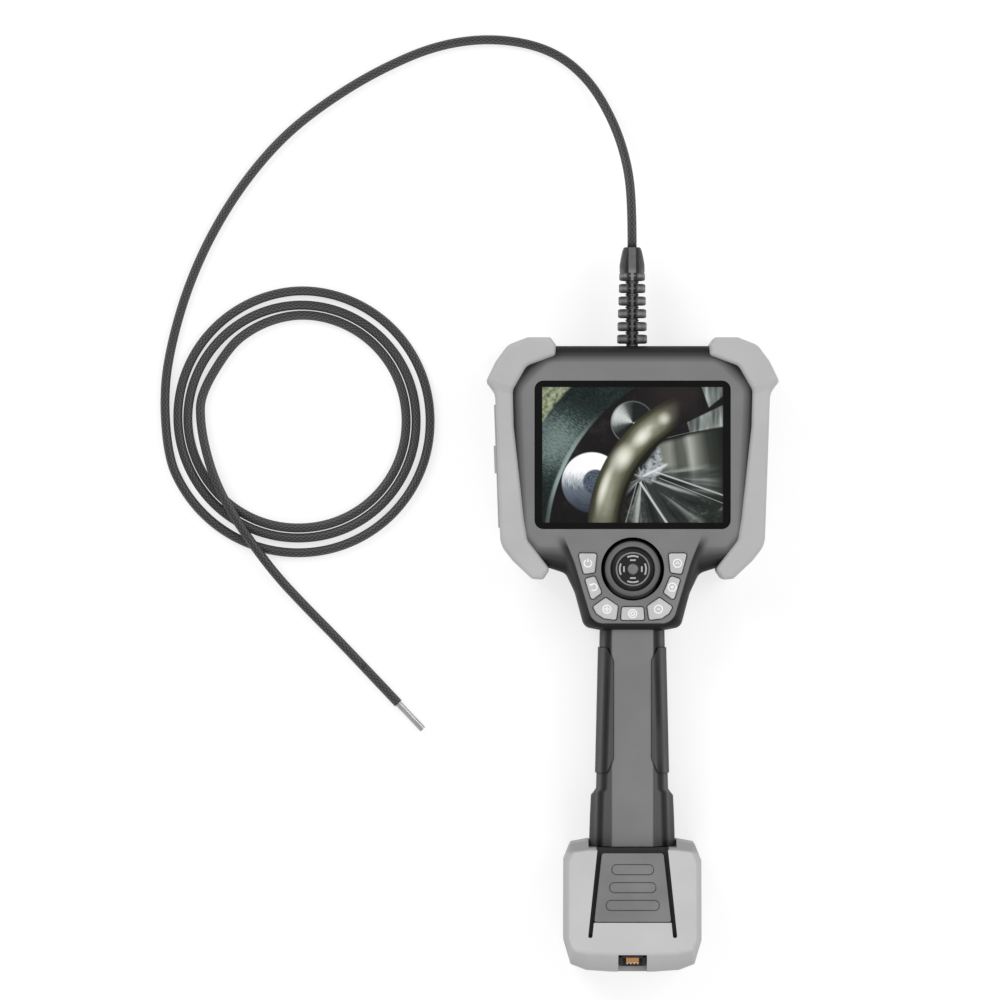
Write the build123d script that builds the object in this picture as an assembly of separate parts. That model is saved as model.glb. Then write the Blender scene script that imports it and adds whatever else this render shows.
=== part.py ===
"""Handheld inspection camera with a joystick, a screen and a long insertion tube.

The device lies on its back. X runs across it, +Y runs from the battery to the tube gland, and +Z
points out of the screen. The origin is the middle of the device's back, on the surface it lies on.
"""
from build123d import *
import math
import os

os.makedirs("parts", exist_ok=True)

# Head housing
BACK_Z = 1.5            # outside of the back wall
SPLIT_Z = 24.0          # where the two shells meet, and the height of the tube gland
FRONT_Z = 43.0          # outside of the front wall
WALL = 3.0              # side and back walls
FRONT_WALL = 2.8
FRONT_BEVEL = 3.0       # roll-off around the front
HEAD_TOP = 173.8
HEAD_HALF = [(54, HEAD_TOP), (72.5, 157), (70, 64.5), (57, 50), (46.8, 48.6), (37.6, 45.6),
             (32.3, 34.6), (27.2, 15.4), (16.7, 13.4)]
HEAD_RADII = [8, 8, 8, 5, 4, 6, 25, 5, 5]
HEAD_BOSSES = [(40, 165.5), (63.5, 143), (56, 58)]
BOSS_R = 4.0
SCREW_R = 1.5
SCREW_FIT = 0.05        # screw shank to its hole
SCREW_HEAD_R = 2.6
SCREW_HEAD = 1.6
SCREW_SINK = 2.4        # depth of the hole that takes the head
SEAL_INSET = 0.9
SEAL_WIDTH = 1.2
SEAL_DEPTH = 0.8

# Bumpers
BUMPER_TOP_Z = 46.0
BUMPER_EDGE = 1.2
SIDE_LOW = (74.4, 61.6)     # the straight side of a bumper, lower and upper end
SIDE_HIGH = (77.4, 147.0)
BUMPER_HALF = [(43.1, 174.2), (46.2, 178.6), (59.1, 178.6), (70.3, 174.2), (77.1, 164.9),
               (82.5, 153.7), SIDE_HIGH, SIDE_LOW, (67.4, 52.7), (56.7, 42.6), (50.4, 42.1),
               (46.5, 47.9), (59.1, 64.4), (61.1, 76.1), (66.9, 128.5), (67.4, 148.9),
               (59.6, 162.5), (43.6, 168.4)]

# Screen
SCREEN_Y = 112.4
GLASS = (110.0, 83.2, 1.5)
GLASS_R = 5.0
GLASS_GAP = 0.2
BEZEL = (114.0, 86.4, 3.0)
BEZEL_OPENING = (102.6, 77.2)
DISPLAY = (106.0, 81.0, 4.0)
MAIN_BOARD = (104.0, 74.0, 1.6)
MAIN_BOARD_Z = 28.0
BOARD_POSTS = [(46, 84), (46, 146)]

# Keys
KEY_PROUD = 1.2
KEY_LOW_Z = 35.9
KEY_GAP = 0.35
KEY_LIP = 0.7
KEY_LIP_THICK = 1.6
KEY_CORNER = 1.0
KEY_TRAVEL = 0.8
LEFT_KEYS = {"key_power": [(-30.6, 57.0), (-20.2, 56.9), (-21.3, 46.2), (-27.5, 45.4)],
             "key_back": [(-26.8, 42.6), (-21.3, 44.2), (-17.4, 34.9), (-23.1, 30.6)],
             "key_light": [(-15.1, 32.1), (-8.2, 27.3), (-9.5, 19.5), (-16.5, 20.5), (-22.6, 26.8)]}
MIDDLE_KEY = [(-6.0, 26.8), (6.0, 26.8), (6.6, 19.5), (-6.6, 19.5)]
RIGHT_NAMES = {"key_power": "key_menu", "key_back": "key_zoom", "key_light": "key_mode"}
KEY_BOARD_Z = 31.5
KEY_BOARD_THICK = 1.6
KEY_POSTS = [(27, 61.5), (22.3, 20.6)]
DOME_SWITCH_R = 2.5

# Joystick
STICK_Y = 48.2
PIVOT_Z = 31.5
SKIRT_R = 18.4          # outside of the spherical skirt, centred on the pivot
STICK_HOLE_R = SKIRT_R - 0.6
SKIRT_WALL = 1.5
SKIRT_ANGLE = 80.0      # the skirt reaches this far from the upright
CUP_GAP = 0.3
CUP_WALL = 1.4
CUP_LOW_Z = 22.5
STEM_R = 4.0
GIMBAL_IN_R = 6.0
GIMBAL_OUT_R = 8.6
GIMBAL_THICK = 4.0
GIMBAL_PIN_R = 1.5
PIN_FIT = 0.05
CAP_R = 9.6
CAP_LOW_Z = PIVOT_Z + SKIRT_R - 1.7
CAP_TOP_Z = CAP_LOW_Z + 4.8

# Steering gear, light and gland
DRUM_X = (-24.0, -2.0)
DRUM_Y = 142.0
DRUM_R = 9.0
DRUM_Z = (11.4, 20.4)
SHAFT_R = 2.0
SHAFT_FIT = 0.05
FRAME_Z = (9.0, 11.0)
MOTOR_R = 6.0
MOTOR_Z = 17.2
MOTOR_Y = (104.0, 128.0)
GLAND_R = 6.0
GLAND_FLANGE_R = 8.5
GLAND_LOW_Y = HEAD_TOP - 6.8

# Socket block and its cover on the left side
BAY_Y = (82.0, 130.0)
BAY_Z = (14.0, 32.0)
COVER_Y = (71.4, 140.6)
COVER_Z = (8.4, 37.6)
COVER_PROUD = 0.8
COVER_DEPTH = 1.8
COVER_GAP = 0.4
PLUG_Y = (78.0, 134.0)
PLUG_Z = (13.0, 33.6)
PLUG_DEPTH = 4.0
SOCKETS = [(92.0, 23.0, 13.1, 5.7), (111.0, 23.0, 15.2, 5.6), (124.0, 23.0, 5.0, 5.0)]
SOCKET_DEPTH = 8.0

# Strain relief
RELIEF_BASE_R = 6.0
RELIEF_CORE_R = 3.4
RELIEF_RING_Y = [HEAD_TOP + rise for rise in (4.0, 11.1, 18.4, 25.5, 32.6)]
RELIEF_RING_R = (8.5, 8.25, 8.0, 7.75, 7.5)
RELIEF_RING_HALF = 2.7
RELIEF_NOSE_Y = HEAD_TOP + 55.9
RELIEF_NOSE = [(6.6, HEAD_TOP + 36.1), (7.1, HEAD_TOP + 37.6), (7.1, HEAD_TOP + 45.9),
               (4.8, RELIEF_NOSE_Y)]

# Handle
HANDLE_Z = (4.0, 38.0)
HANDLE_SPLIT_Z = 21.0
HANDLE_WALL = 2.5
HANDLE_LOW_Y = -108.1
HANDLE_TOP_Y = 24.0
HANDLE_HALF = [(18.2, 13.9), (20.3, -75.8), (23.3, -79.7), (24.3, HANDLE_LOW_Y)]
FRONT_FLAT = 11.0       # half width of the flat front
BACK_FLAT = 13.0
RIDGE = (28.0, 18.0)    # where the front and back slopes would meet, x and z
GRIP_PROUD = 0.8
GRIP_SUNK = 1.8
GRIP_HALF = [(10.8, -3.3), (14.5, 3.8), (40, 3.8), (40, -66.8), (14.5, -66.8), (10.8, -58.4)]
HANDLE_BOSSES = [(0, -5), (0, -40), (0, -74)]
DOCK_Y = (-104.0, -97.0)
BLADE_X = (-9.0, -3.0, 3.0, 9.0)
BLADE = (1.2, 6.0)      # width and height
BLADE_Z = 27.0
BLADE_LOW_Y = -111.2

# Battery
PACK_Z = 46.0
PACK_SPLIT_Z = 23.0
PACK_WALL = 2.0
PACK_HALF = [(31, -104.7), (36.6, -107.5), (38.7, -116), (38.9, -160.8), (34.9, -174.3),
             (26.2, -177.6), (12, -178.6)]
PACK_BEVEL = 3.4
PACK_SEAT_Y = -108.6
PACK_BOSSES = [(31.5, -121), (31.5, -163)]
PACK_BOSS_R = 3.4
CELL_R = 9.15
CELL_LENGTH = 64.2
CELL_PITCH = 18.4
PACK_BOARD_Z = 31.0
PACK_BOARD_THICK = 1.6
LATCH_HALF = [(18.3, -112.5), (20.0, -150.1)]
LATCH_Z = (41.6, 46.2)
LATCH_TRAVEL = 3.0
LATCH_GAP = 0.7
RIBS = [(-120.8, 24.2), (-130.9, 26.7), (-140.9, 30.5)]
RIB_HEIGHT = 6.3
RIB_PROUD = 0.6
GROOVE = [(18.2, -107.8), (24.8, -159.1)]
GROOVE_WIDTH = 2.3
NOTCH = (16.1, -168.9, 33.0)  # width, upper end, floor height
CONTACT = (7.9, 4.4, 4.0)

# Insertion tube: its route, its coil and the steered end
TUBE_D = 5.2
TUBE_Z = TUBE_D / 2 + 0.05  # centre line where it lies on the surface
LEAD_RISE = [(0, 55.9, SPLIT_Z), (0, 79.6, SPLIT_Z), (-2.4, 103.2, 18), (-10.3, 128.1, 9.6),
             (-24.9, 152.9, 4.2), (-46.4, 169.3, TUBE_Z), (-77.4, 175.5, TUBE_Z),
             (-110.1, 171.5, TUBE_Z), (-142.8, 157.4, TUBE_Z)]  # Y from the top of the head
LEAD_ROUTE = [(x, HEAD_TOP + rise, z) for x, rise, z in LEAD_RISE]
LEAD_ROUTE += [(-171.6, 313.8, TUBE_Z), (-197, 294, TUBE_Z), (-219, 268.6, TUBE_Z),
               (-237, 240.4, TUBE_Z), (-250.5, 211.1, TUBE_Z), (-260.1, 180.1, TUBE_Z),
               (-265.5, 149.1, TUBE_Z), (-265.5, 132.1, TUBE_Z)]
COIL_CENTRE = (-187.4, 132.1)
COIL_QUARTERS = [78.1, 75.0, 73.1, 73.6, 69.9, 66.6, 65.2, 65.5, 64.3, 60.9, 59.5, 59.8, 55.8]
COIL_END_ANGLE = 1230   # the coil starts at 180 degrees and turns anticlockwise to here
COIL_STEP = 15
TAIL_ROUTE = [(-236.8, 160.6, TUBE_Z), (-244.4, 147.4, TUBE_Z), (-244.6, 131.5, 6.6),
              (-241.2, 113.8, 11.2), (-235.3, 96.0, 13.4), (-226.3, 79.1, 13.4),
              (-215.4, 62.8, 12.6), (-201.5, 44.2, 7.6), (-183.9, 25.4, TUBE_Z),
              (-167.0, 8.4, TUBE_Z), (-151.5, -8.0, TUBE_Z)]
LINK_PIVOTS = (7.0, 13.0, 19.0, 25.0)   # distances from the tail's end
LINK_END = 28.0
LINK_BALL_R = TUBE_D / 2 - 0.1
LINK_CUP_R = TUBE_D / 2 + 0.2
TIP_R = 2.0
TIP_LENGTH = 20.3
LENS_R = 1.0
LENS_DEPTH = 1.2
TIP_LIGHT_R = 0.28
TIP_LIGHT_RING = 1.45


def mirrored(half):
    """Corners of a symmetrical outline, from the corners of its right half."""
    return half + [(-x, y) for x, y in reversed(half)]


def rounded_face(corners, radii):
    """Flat face with rounded corners."""
    return make_face(FilletPolyline(*corners, radius=radii, close=True))


def sharp_face(corners):
    return make_face(Polyline(*corners, close=True))


def prism(face, low, high):
    """Flat face swept from one height to another."""
    return extrude(Pos(0, 0, low) * face, amount=high - low, dir=(0, 0, 1))


def block(x, y, z):
    """Box from three pairs of limits."""
    sizes = [limits[1] - limits[0] for limits in (x, y, z)]
    middle = [(limits[0] + limits[1]) / 2 for limits in (x, y, z)]
    return Pos(*middle) * Box(*sizes)


def rod(start, direction, radius, length):
    """Cylinder that starts at a point and runs along a direction."""
    place = Plane(origin=start, z_dir=direction)
    return place * Cylinder(radius, length, align=(Align.CENTER, Align.CENTER, Align.MIN))


def upright(x, y, low, high, radius):
    return rod((x, y, low), (0, 0, 1), radius, high - low)


def both_sides(points):
    return [(side * x, y) for x, y in points for side in ((1, -1) if x else (1,))]


def save(name, shape):
    solids = shape.solids()
    whole = solids[0] if len(solids) == 1 else Compound(children=solids)
    export_step(whole, f"parts/{name}.step")


# ---------------------------------------------------------------- head
def head_face():
    corners = mirrored(HEAD_HALF)
    return rounded_face(corners, HEAD_RADII + HEAD_RADII[::-1])


def head_envelope():
    """Outer shape of the closed housing, with the roll-off around its front."""
    body = prism(head_face(), BACK_Z, FRONT_Z)
    front = body.faces().sort_by(Axis.Z)[-1]
    body = chamfer(front.edges(), FRONT_BEVEL)
    back = body.faces().sort_by(Axis.Z)[0]
    return chamfer(back.edges(), 1.0)


def inner_face(inset):
    return offset(head_face(), amount=-inset)


def gland_solid():
    """The bush that fills the gland hole, with its flange inside the wall."""
    start = (0, GLAND_LOW_Y, SPLIT_Z)
    bush = rod(start, (0, 1, 0), GLAND_R, HEAD_TOP - GLAND_LOW_Y)
    return bush + rod(start, (0, 1, 0), GLAND_FLANGE_R, HEAD_TOP - WALL - GLAND_LOW_Y)


def bay_window():
    return block((-80, -60), BAY_Y, BAY_Z)


def handle_passage():
    """Way for the battery wires between the head and the handle."""
    return block((-8, 8), (0, 20), (13, 30))


def front_wall_inside():
    return FRONT_Z - FRONT_WALL


def front_housing():
    shell = head_envelope() & block((-90, 90), (0, HEAD_TOP + 10), (SPLIT_Z, 60))
    shell -= prism(inner_face(WALL), SPLIT_Z - 1, front_wall_inside())
    for x, y in both_sides(HEAD_BOSSES):
        shell += upright(x, y, SPLIT_Z, front_wall_inside(), BOSS_R)
    for x, y in both_sides(KEY_POSTS):
        shell += upright(x, y, KEY_BOARD_Z + KEY_BOARD_THICK, front_wall_inside(), SCREW_R)
    for x, y in both_sides(HEAD_BOSSES):
        shell -= upright(x, y, SPLIT_Z - 1, SPLIT_Z + 10, SCREW_R + SCREW_FIT)
    opening = RectangleRounded(GLASS[0] + 2 * GLASS_GAP, GLASS[1] + 2 * GLASS_GAP, GLASS_R)
    shell -= prism(Pos(0, SCREEN_Y) * opening, front_wall_inside() - 1, FRONT_Z + 1)
    shell -= upright(0, STICK_Y, front_wall_inside() - 1, FRONT_Z + 1, STICK_HOLE_R)
    for corners in key_outlines().values():
        hole = offset(key_face(corners), amount=KEY_GAP)
        shell -= prism(hole, front_wall_inside() - 1, FRONT_Z + 1)
    return shell - gland_solid() - bay_window() - handle_passage()


def rear_housing():
    shell = head_envelope() & block((-90, 90), (0, HEAD_TOP + 10), (0, SPLIT_Z))
    shell -= prism(inner_face(WALL), BACK_Z + WALL, SPLIT_Z + 1)
    for x, y in both_sides(HEAD_BOSSES):
        shell += upright(x, y, BACK_Z + 1, SPLIT_Z, BOSS_R)
    for x, y in both_sides(HEAD_BOSSES):
        shell -= upright(x, y, BACK_Z - 1, SPLIT_Z + 1, SCREW_R + SCREW_FIT)
        shell -= upright(x, y, BACK_Z - 1, BACK_Z + SCREW_SINK, SCREW_HEAD_R + 0.1)
    for x, y in both_sides(BOARD_POSTS):
        shell += upright(x, y, BACK_Z + WALL - 0.5, MAIN_BOARD_Z, 3.0)
    groove = inner_face(SEAL_INSET) - inner_face(SEAL_INSET + SEAL_WIDTH)
    shell -= prism(groove, SPLIT_Z - SEAL_DEPTH, SPLIT_Z + 1)
    return shell - gland_solid() - bay_window() - handle_passage()


def housing_seal():
    ring = inner_face(SEAL_INSET) - inner_face(SEAL_INSET + SEAL_WIDTH)
    seal = prism(ring, SPLIT_Z - SEAL_DEPTH, SPLIT_Z)
    return seal - gland_solid() - bay_window() - handle_passage()


def screw_group(places, back, high):
    """Pan-head screws, driven in from the back until their heads seat in their holes."""
    screws = []
    for x, y in places:
        low = back + SCREW_SINK - SCREW_HEAD
        head = upright(x, y, low, low + SCREW_HEAD, SCREW_HEAD_R)
        screws.append(head + upright(x, y, low, high, SCREW_R))
    return Compound(children=[screw.solids()[0] for screw in screws])


def side_strip(y_limits, inner, outer):
    """Flat strip along the left bumper's straight side, from one depth to another."""
    slope = (SIDE_HIGH[0] - SIDE_LOW[0]) / (SIDE_HIGH[1] - SIDE_LOW[1])
    side = [(-(SIDE_LOW[0] + (y - SIDE_LOW[1]) * slope), y) for y in y_limits]
    (x0, y0), (x1, y1) = side
    return sharp_face([(x0 - inner, y0), (x0 - outer, y0), (x1 - outer, y1), (x1 - inner, y1)])


def bumper(side):
    corners = [(side * x, y) for x, y in BUMPER_HALF]
    body = prism(sharp_face(corners), 0, BUMPER_TOP_Z)
    for end in (0, -1):
        rim = body.faces().sort_by(Axis.Z)[end]
        body = chamfer(rim.edges(), BUMPER_EDGE)
    body -= head_envelope()
    if side < 0:
        gap = COVER_GAP
        seat_y = (COVER_Y[0] - gap, COVER_Y[1] + gap)
        seat_z = (COVER_Z[0] - gap, COVER_Z[1] + gap)
        body -= prism(side_strip(seat_y, -COVER_DEPTH - 0.2, 5), *seat_z)
        plug_y = (PLUG_Y[0] - 1, PLUG_Y[1] + 1)
        plug_z = (PLUG_Z[0] - gap, PLUG_Z[1] + 1)
        body -= prism(side_strip(plug_y, -12, 5), *plug_z)
    return body


def port_cover():
    plate = prism(side_strip(COVER_Y, -COVER_DEPTH, COVER_PROUD), *COVER_Z)
    plug = prism(side_strip(PLUG_Y, -PLUG_DEPTH, -COVER_DEPTH), *PLUG_Z)
    tab_y = (102.0, 117.6)
    tab = prism(side_strip(tab_y, COVER_PROUD, COVER_PROUD + 1.0), COVER_Z[1] - 7, COVER_Z[1])
    return plate + plug + tab


def port_block():
    """Block with the sockets, against the inside of the left wall."""
    low, high = BAY_Y[0] - 2, BAY_Y[1] + 2
    slope = (HEAD_HALF[1][0] - HEAD_HALF[2][0]) / (HEAD_HALF[1][1] - HEAD_HALF[2][1])
    reach = [HEAD_HALF[2][0] + (y - HEAD_HALF[2][1]) * slope - WALL - 0.05 for y in (low, high)]
    back = 57.0
    face = sharp_face([(-reach[0], low), (-reach[1], high), (-back, high), (-back, low)])
    body = prism(face, BAY_Z[0] - 1, BAY_Z[1] + 1)
    for y, z, width, height in SOCKETS:
        body -= block((-80, -reach[0] + SOCKET_DEPTH), (y - width / 2, y + width / 2),
                      (z - height / 2, z + height / 2))
    return body


# ---------------------------------------------------------------- screen and boards
def glass_low_z():
    return front_wall_inside()


def screen_window():
    plate = Pos(0, SCREEN_Y) * RectangleRounded(GLASS[0], GLASS[1], GLASS_R - GLASS_GAP)
    return prism(plate, glass_low_z(), glass_low_z() + GLASS[2])


def screen_bezel():
    ring = Rectangle(BEZEL[0], BEZEL[1]) - Rectangle(*BEZEL_OPENING)
    return prism(Pos(0, SCREEN_Y) * ring, glass_low_z() - BEZEL[2], glass_low_z())


def lcd_module():
    top = glass_low_z() - BEZEL[2]
    return prism(Pos(0, SCREEN_Y) * Rectangle(DISPLAY[0], DISPLAY[1]), top - DISPLAY[2], top)


def main_board():
    top = MAIN_BOARD_Z + MAIN_BOARD[2]
    board = prism(Pos(0, SCREEN_Y + 2) * Rectangle(MAIN_BOARD[0], MAIN_BOARD[1]), MAIN_BOARD_Z, top)
    for x, y, size in ((-20, 100, 14), (10, 105, 18), (30, 128, 10), (-30, 130, 9), (-5, 135, 8)):
        board += block((x, x + size), (y, y + size), (top - 0.2, top + 1.4))
    return board


def key_face(corners):
    return rounded_face(corners, [KEY_CORNER] * len(corners))


def key_outlines():
    outlines = dict(LEFT_KEYS)
    outlines["key_record"] = MIDDLE_KEY
    for left, right in RIGHT_NAMES.items():
        outlines[right] = [(-x, y) for x, y in reversed(LEFT_KEYS[left])]
    return outlines


def key_centre(corners):
    return (sum(x for x, y in corners) / len(corners), sum(y for x, y in corners) / len(corners))


def key(corners):
    """Key cap with a lip that stops it under the front wall."""
    cap = prism(key_face(corners), KEY_LOW_Z, FRONT_Z + KEY_PROUD)
    lip_top = front_wall_inside() - 0.1
    return cap + prism(offset(key_face(corners), amount=KEY_LIP), lip_top - KEY_LIP_THICK, lip_top)


def key_board():
    region = inner_face(WALL + 0.6) & Pos(0, 40) * Rectangle(68, 50)
    return prism(region - Pos(0, STICK_Y) * Circle(SKIRT_R + CUP_GAP + CUP_WALL + 0.4),
                 KEY_BOARD_Z, KEY_BOARD_Z + KEY_BOARD_THICK)


def key_domes():
    low = KEY_BOARD_Z + KEY_BOARD_THICK
    top = KEY_LOW_Z - KEY_TRAVEL - 0.1
    domes = []
    for corners in key_outlines().values():
        x, y = key_centre(corners)
        domes.append(upright(x, y, low, top, DOME_SWITCH_R))
    return Compound(children=domes)


# ---------------------------------------------------------------- joystick
def pivot():
    return (0, STICK_Y, PIVOT_Z)


def joystick_base():
    """Cup around the skirt, with two posts that carry the gimbal ring."""
    inner = SKIRT_R + CUP_GAP
    cup = upright(0, STICK_Y, CUP_LOW_Z, front_wall_inside(), inner + CUP_WALL)
    cup -= upright(0, STICK_Y, CUP_LOW_Z + 2, front_wall_inside() + 1, inner)
    for side in (-1, 1):
        near, far = STICK_Y + side * (GIMBAL_OUT_R + 0.6), STICK_Y + side * (GIMBAL_OUT_R + 4)
        cup += block((-3, 3), sorted((near, far)), (CUP_LOW_Z + 1, PIVOT_Z + 2.6))
    pin_line = (0, STICK_Y - 15, PIVOT_Z)
    return cup - rod(pin_line, (0, 1, 0), GIMBAL_PIN_R + PIN_FIT, 30)


def gimbal_ring():
    low, high = PIVOT_Z - GIMBAL_THICK / 2, PIVOT_Z + GIMBAL_THICK / 2
    ring = upright(0, STICK_Y, low, high, GIMBAL_OUT_R)
    for side in (-1, 1):
        ring += rod((0, STICK_Y + side * (GIMBAL_OUT_R - 1), PIVOT_Z), (0, side, 0), GIMBAL_PIN_R, 4.4)
    ring -= upright(0, STICK_Y, low - 1, high + 1, GIMBAL_IN_R)
    return ring - rod((-20, STICK_Y, PIVOT_Z), (1, 0, 0), GIMBAL_PIN_R + PIN_FIT, 40)


def joystick_stem():
    stem = upright(0, STICK_Y, PIVOT_Z - 4, CAP_TOP_Z - 2, STEM_R)
    reach = GIMBAL_OUT_R - 0.2
    return stem + rod((-reach, STICK_Y, PIVOT_Z), (1, 0, 0), GIMBAL_PIN_R, 2 * reach)


def joystick_skirt():
    """Spherical skirt that turns about the pivot, with rings around it."""
    ball = Pos(*pivot()) * Sphere(SKIRT_R) - Pos(*pivot()) * Sphere(SKIRT_R - SKIRT_WALL)
    low = PIVOT_Z + SKIRT_R * math.cos(math.radians(SKIRT_ANGLE))
    ball &= block((-30, 30), (STICK_Y - 30, STICK_Y + 30), (low, 60))
    for radius in (0.63 * SKIRT_R, 0.706 * SKIRT_R, 0.782 * SKIRT_R):
        groove = upright(0, STICK_Y, PIVOT_Z, 60, radius + 0.3)
        groove -= upright(0, STICK_Y, PIVOT_Z - 1, 61, radius - 0.3)
        ball -= groove - Pos(*pivot()) * Sphere(SKIRT_R - 0.5)
    return ball - upright(0, STICK_Y, 30, 60, STEM_R)


def joystick_cap():
    cap = upright(0, STICK_Y, CAP_LOW_Z, CAP_TOP_Z, CAP_R)
    cap = chamfer(cap.edges().group_by(Axis.Z)[-1], 1.0)
    slots = upright(0, STICK_Y, CAP_TOP_Z - 0.8, CAP_TOP_Z + 1, 8.0)
    slots -= upright(0, STICK_Y, 0, 60, 7.0)
    slots -= block((-1.6, 1.6), (STICK_Y - 12, STICK_Y + 12), (0, 60))
    slots -= block((-12, 12), (STICK_Y - 1.6, STICK_Y + 1.6), (0, 60))
    cap -= slots
    cap -= Pos(*pivot()) * Sphere(SKIRT_R + 0.1)
    cap -= upright(0, STICK_Y, 30, CAP_TOP_Z - 2, STEM_R)
    button = Pos(0, STICK_Y, CAP_TOP_Z - 3.0) * Sphere(4.2)
    return cap + (button & block((-5, 5), (STICK_Y - 5, STICK_Y + 5), (CAP_TOP_Z - 0.5, 60)))


# ---------------------------------------------------------------- steering gear and light
def steering_frame():
    left, right = DRUM_X[0] - 12, DRUM_X[1] + 12
    frame = block((left, right), (MOTOR_Y[0] - 2, DRUM_Y + 14), FRAME_Z)
    for x in (left + 3, right - 3):
        for y in (MOTOR_Y[0] + 1, DRUM_Y + 11):
            frame += upright(x, y, BACK_Z + WALL, FRAME_Z[1], 2.5)
    for x in DRUM_X:
        frame += upright(x, DRUM_Y, FRAME_Z[0], DRUM_Z[1] + 2, SHAFT_R)
        saddle = block((x - 5, x + 5), (MOTOR_Y[0] + 4, MOTOR_Y[1] - 4), (FRAME_Z[1] - 0.5, MOTOR_Z))
        frame += saddle - rod((x, 90, MOTOR_Z), (0, 1, 0), MOTOR_R, 50)
    return frame


def steering_motors():
    motors = []
    for x in DRUM_X:
        motor = rod((x, MOTOR_Y[0], MOTOR_Z), (0, 1, 0), MOTOR_R, MOTOR_Y[1] - MOTOR_Y[0])
        reach = DRUM_Y - DRUM_R - 0.4 - MOTOR_Y[1]
        motors.append(motor + rod((x, MOTOR_Y[1], MOTOR_Z), (0, 1, 0), 2.2, reach))
    return Compound(children=[motor.solids()[0] for motor in motors])


def drum(x):
    body = upright(x, DRUM_Y, DRUM_Z[0], DRUM_Z[1], DRUM_R)
    groove = upright(x, DRUM_Y, DRUM_Z[1] - 4, DRUM_Z[1] - 2, DRUM_R + 1)
    body -= groove - upright(x, DRUM_Y, 0, 40, DRUM_R - 1.5)
    return body - upright(x, DRUM_Y, 0, 40, SHAFT_R + SHAFT_FIT)


def light_engine():
    """Lamp for the tube's tip, on a finned heat sink that stands on the back wall."""
    body = block((16, 41), (132, 158), (BACK_Z + WALL, 12))
    for index in range(6):
        x = 16 + index * 4.6
        body += block((x, x + 2), (132, 158), (11.5, 21))
    return body


# ---------------------------------------------------------------- strain relief
def strain_relief():
    """Ribbed rubber sleeve, turned about the gland's axis."""
    edge = 0.8
    half = RELIEF_RING_HALF
    profile = [(0, HEAD_TOP), (RELIEF_BASE_R, HEAD_TOP)]
    core = RELIEF_BASE_R
    for y, radius in zip(RELIEF_RING_Y, RELIEF_RING_R):
        profile += [(core, y - half), (radius - edge, y - half), (radius, y - half + edge),
                    (radius, y + half - edge), (radius - edge, y + half), (RELIEF_CORE_R, y + half)]
        core = RELIEF_CORE_R
    profile += [(RELIEF_CORE_R, RELIEF_NOSE[0][1])] + RELIEF_NOSE + [(0, RELIEF_NOSE_Y)]
    return Pos(0, 0, SPLIT_Z) * revolve(sharp_face(profile), axis=Axis.Y)


# ---------------------------------------------------------------- handle
def handle_body(grow, low_y=HANDLE_LOW_Y):
    """The handle's outer shape, moved outwards or inwards by an amount."""
    top_x = HANDLE_HALF[0][0] + grow
    half = [(top_x, HANDLE_TOP_Y)] + [(x + grow, y) for x, y in HANDLE_HALF[1:-1]]
    plan = sharp_face(mirrored(half + [(HANDLE_HALF[-1][0] + grow, low_y)]))
    low, high = HANDLE_Z
    section = mirrored([(FRONT_FLAT + 0.46 * grow, high + grow), (RIDGE[0] + 1.4 * grow, RIDGE[1]),
                        (BACK_FLAT + 0.4 * grow, low - grow)])
    bar = extrude(Plane.XZ * sharp_face(section), amount=400, both=True)
    return prism(plan, low - 5, high + 5) & bar


def grip(side):
    """Rubber insert that wraps one side of the handle."""
    region = prism(sharp_face([(side * x, y) for x, y in GRIP_HALF]), -10, 60)
    return (handle_body(GRIP_PROUD) - handle_body(-GRIP_SUNK)) & region


def blades(grow):
    """Contact blades that reach out of the handle's end, or the slots for them."""
    width, height = BLADE
    shapes = []
    for x in BLADE_X:
        shapes.append(block((x - width / 2 - grow, x + width / 2 + grow),
                            (BLADE_LOW_Y - 4 * grow, DOCK_Y[1] - 1),
                            (BLADE_Z - height / 2 - grow, BLADE_Z + height / 2 + grow)))
    return Compound(children=shapes)


def handle_shell():
    """The handle's whole wall, before it is split in two."""
    inset = GRIP_SUNK + HANDLE_WALL
    shell = handle_body(0)
    for side in (-1, 1):
        shell -= grip(side)
    shell -= handle_body(-inset, DOCK_Y[0])
    inside = handle_body(-inset + 0.5, DOCK_Y[0])
    for x, y in HANDLE_BOSSES:
        shell += upright(x, y, HANDLE_Z[0], HANDLE_Z[1], 3.5) & inside
    for x, y in HANDLE_BOSSES:
        shell -= upright(x, y, HANDLE_Z[0] - 1, HANDLE_SPLIT_Z + 10, SCREW_R + SCREW_FIT)
        shell -= upright(x, y, HANDLE_Z[0] - 1, HANDLE_Z[0] + SCREW_SINK, SCREW_HEAD_R + 0.1)
    return shell - head_envelope() - blades(0.1)


def dock_block():
    body = block((-18, 18), DOCK_Y, (8, 36)) & handle_body(-GRIP_SUNK - HANDLE_WALL - 0.05, DOCK_Y[0])
    return body - blades(0)


# ---------------------------------------------------------------- battery
def pack_envelope():
    corners = mirrored(PACK_HALF)
    body = prism(sharp_face(corners), 0, PACK_Z)
    for end in (0, -1):
        rim = body.faces().sort_by(Axis.Z)[end]
        body = chamfer(rim.edges(), PACK_BEVEL)
    return body


def groove(side):
    (x0, y0), (x1, y1) = GROOVE
    half = GROOVE_WIDTH / 2
    face = sharp_face([(side * (x0 - half), y0), (side * (x0 + half), y0),
                       (side * (x1 + half), y1), (side * (x1 - half), y1)])
    return prism(face, PACK_Z - 1.2, PACK_Z + 1)


def notch(grow=0.0, floor_drop=0.0):
    width, top, floor = NOTCH
    return block((-width / 2 - grow, width / 2 + grow), (-190, top + grow),
                 (floor - floor_drop, PACK_Z + 1))


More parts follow.
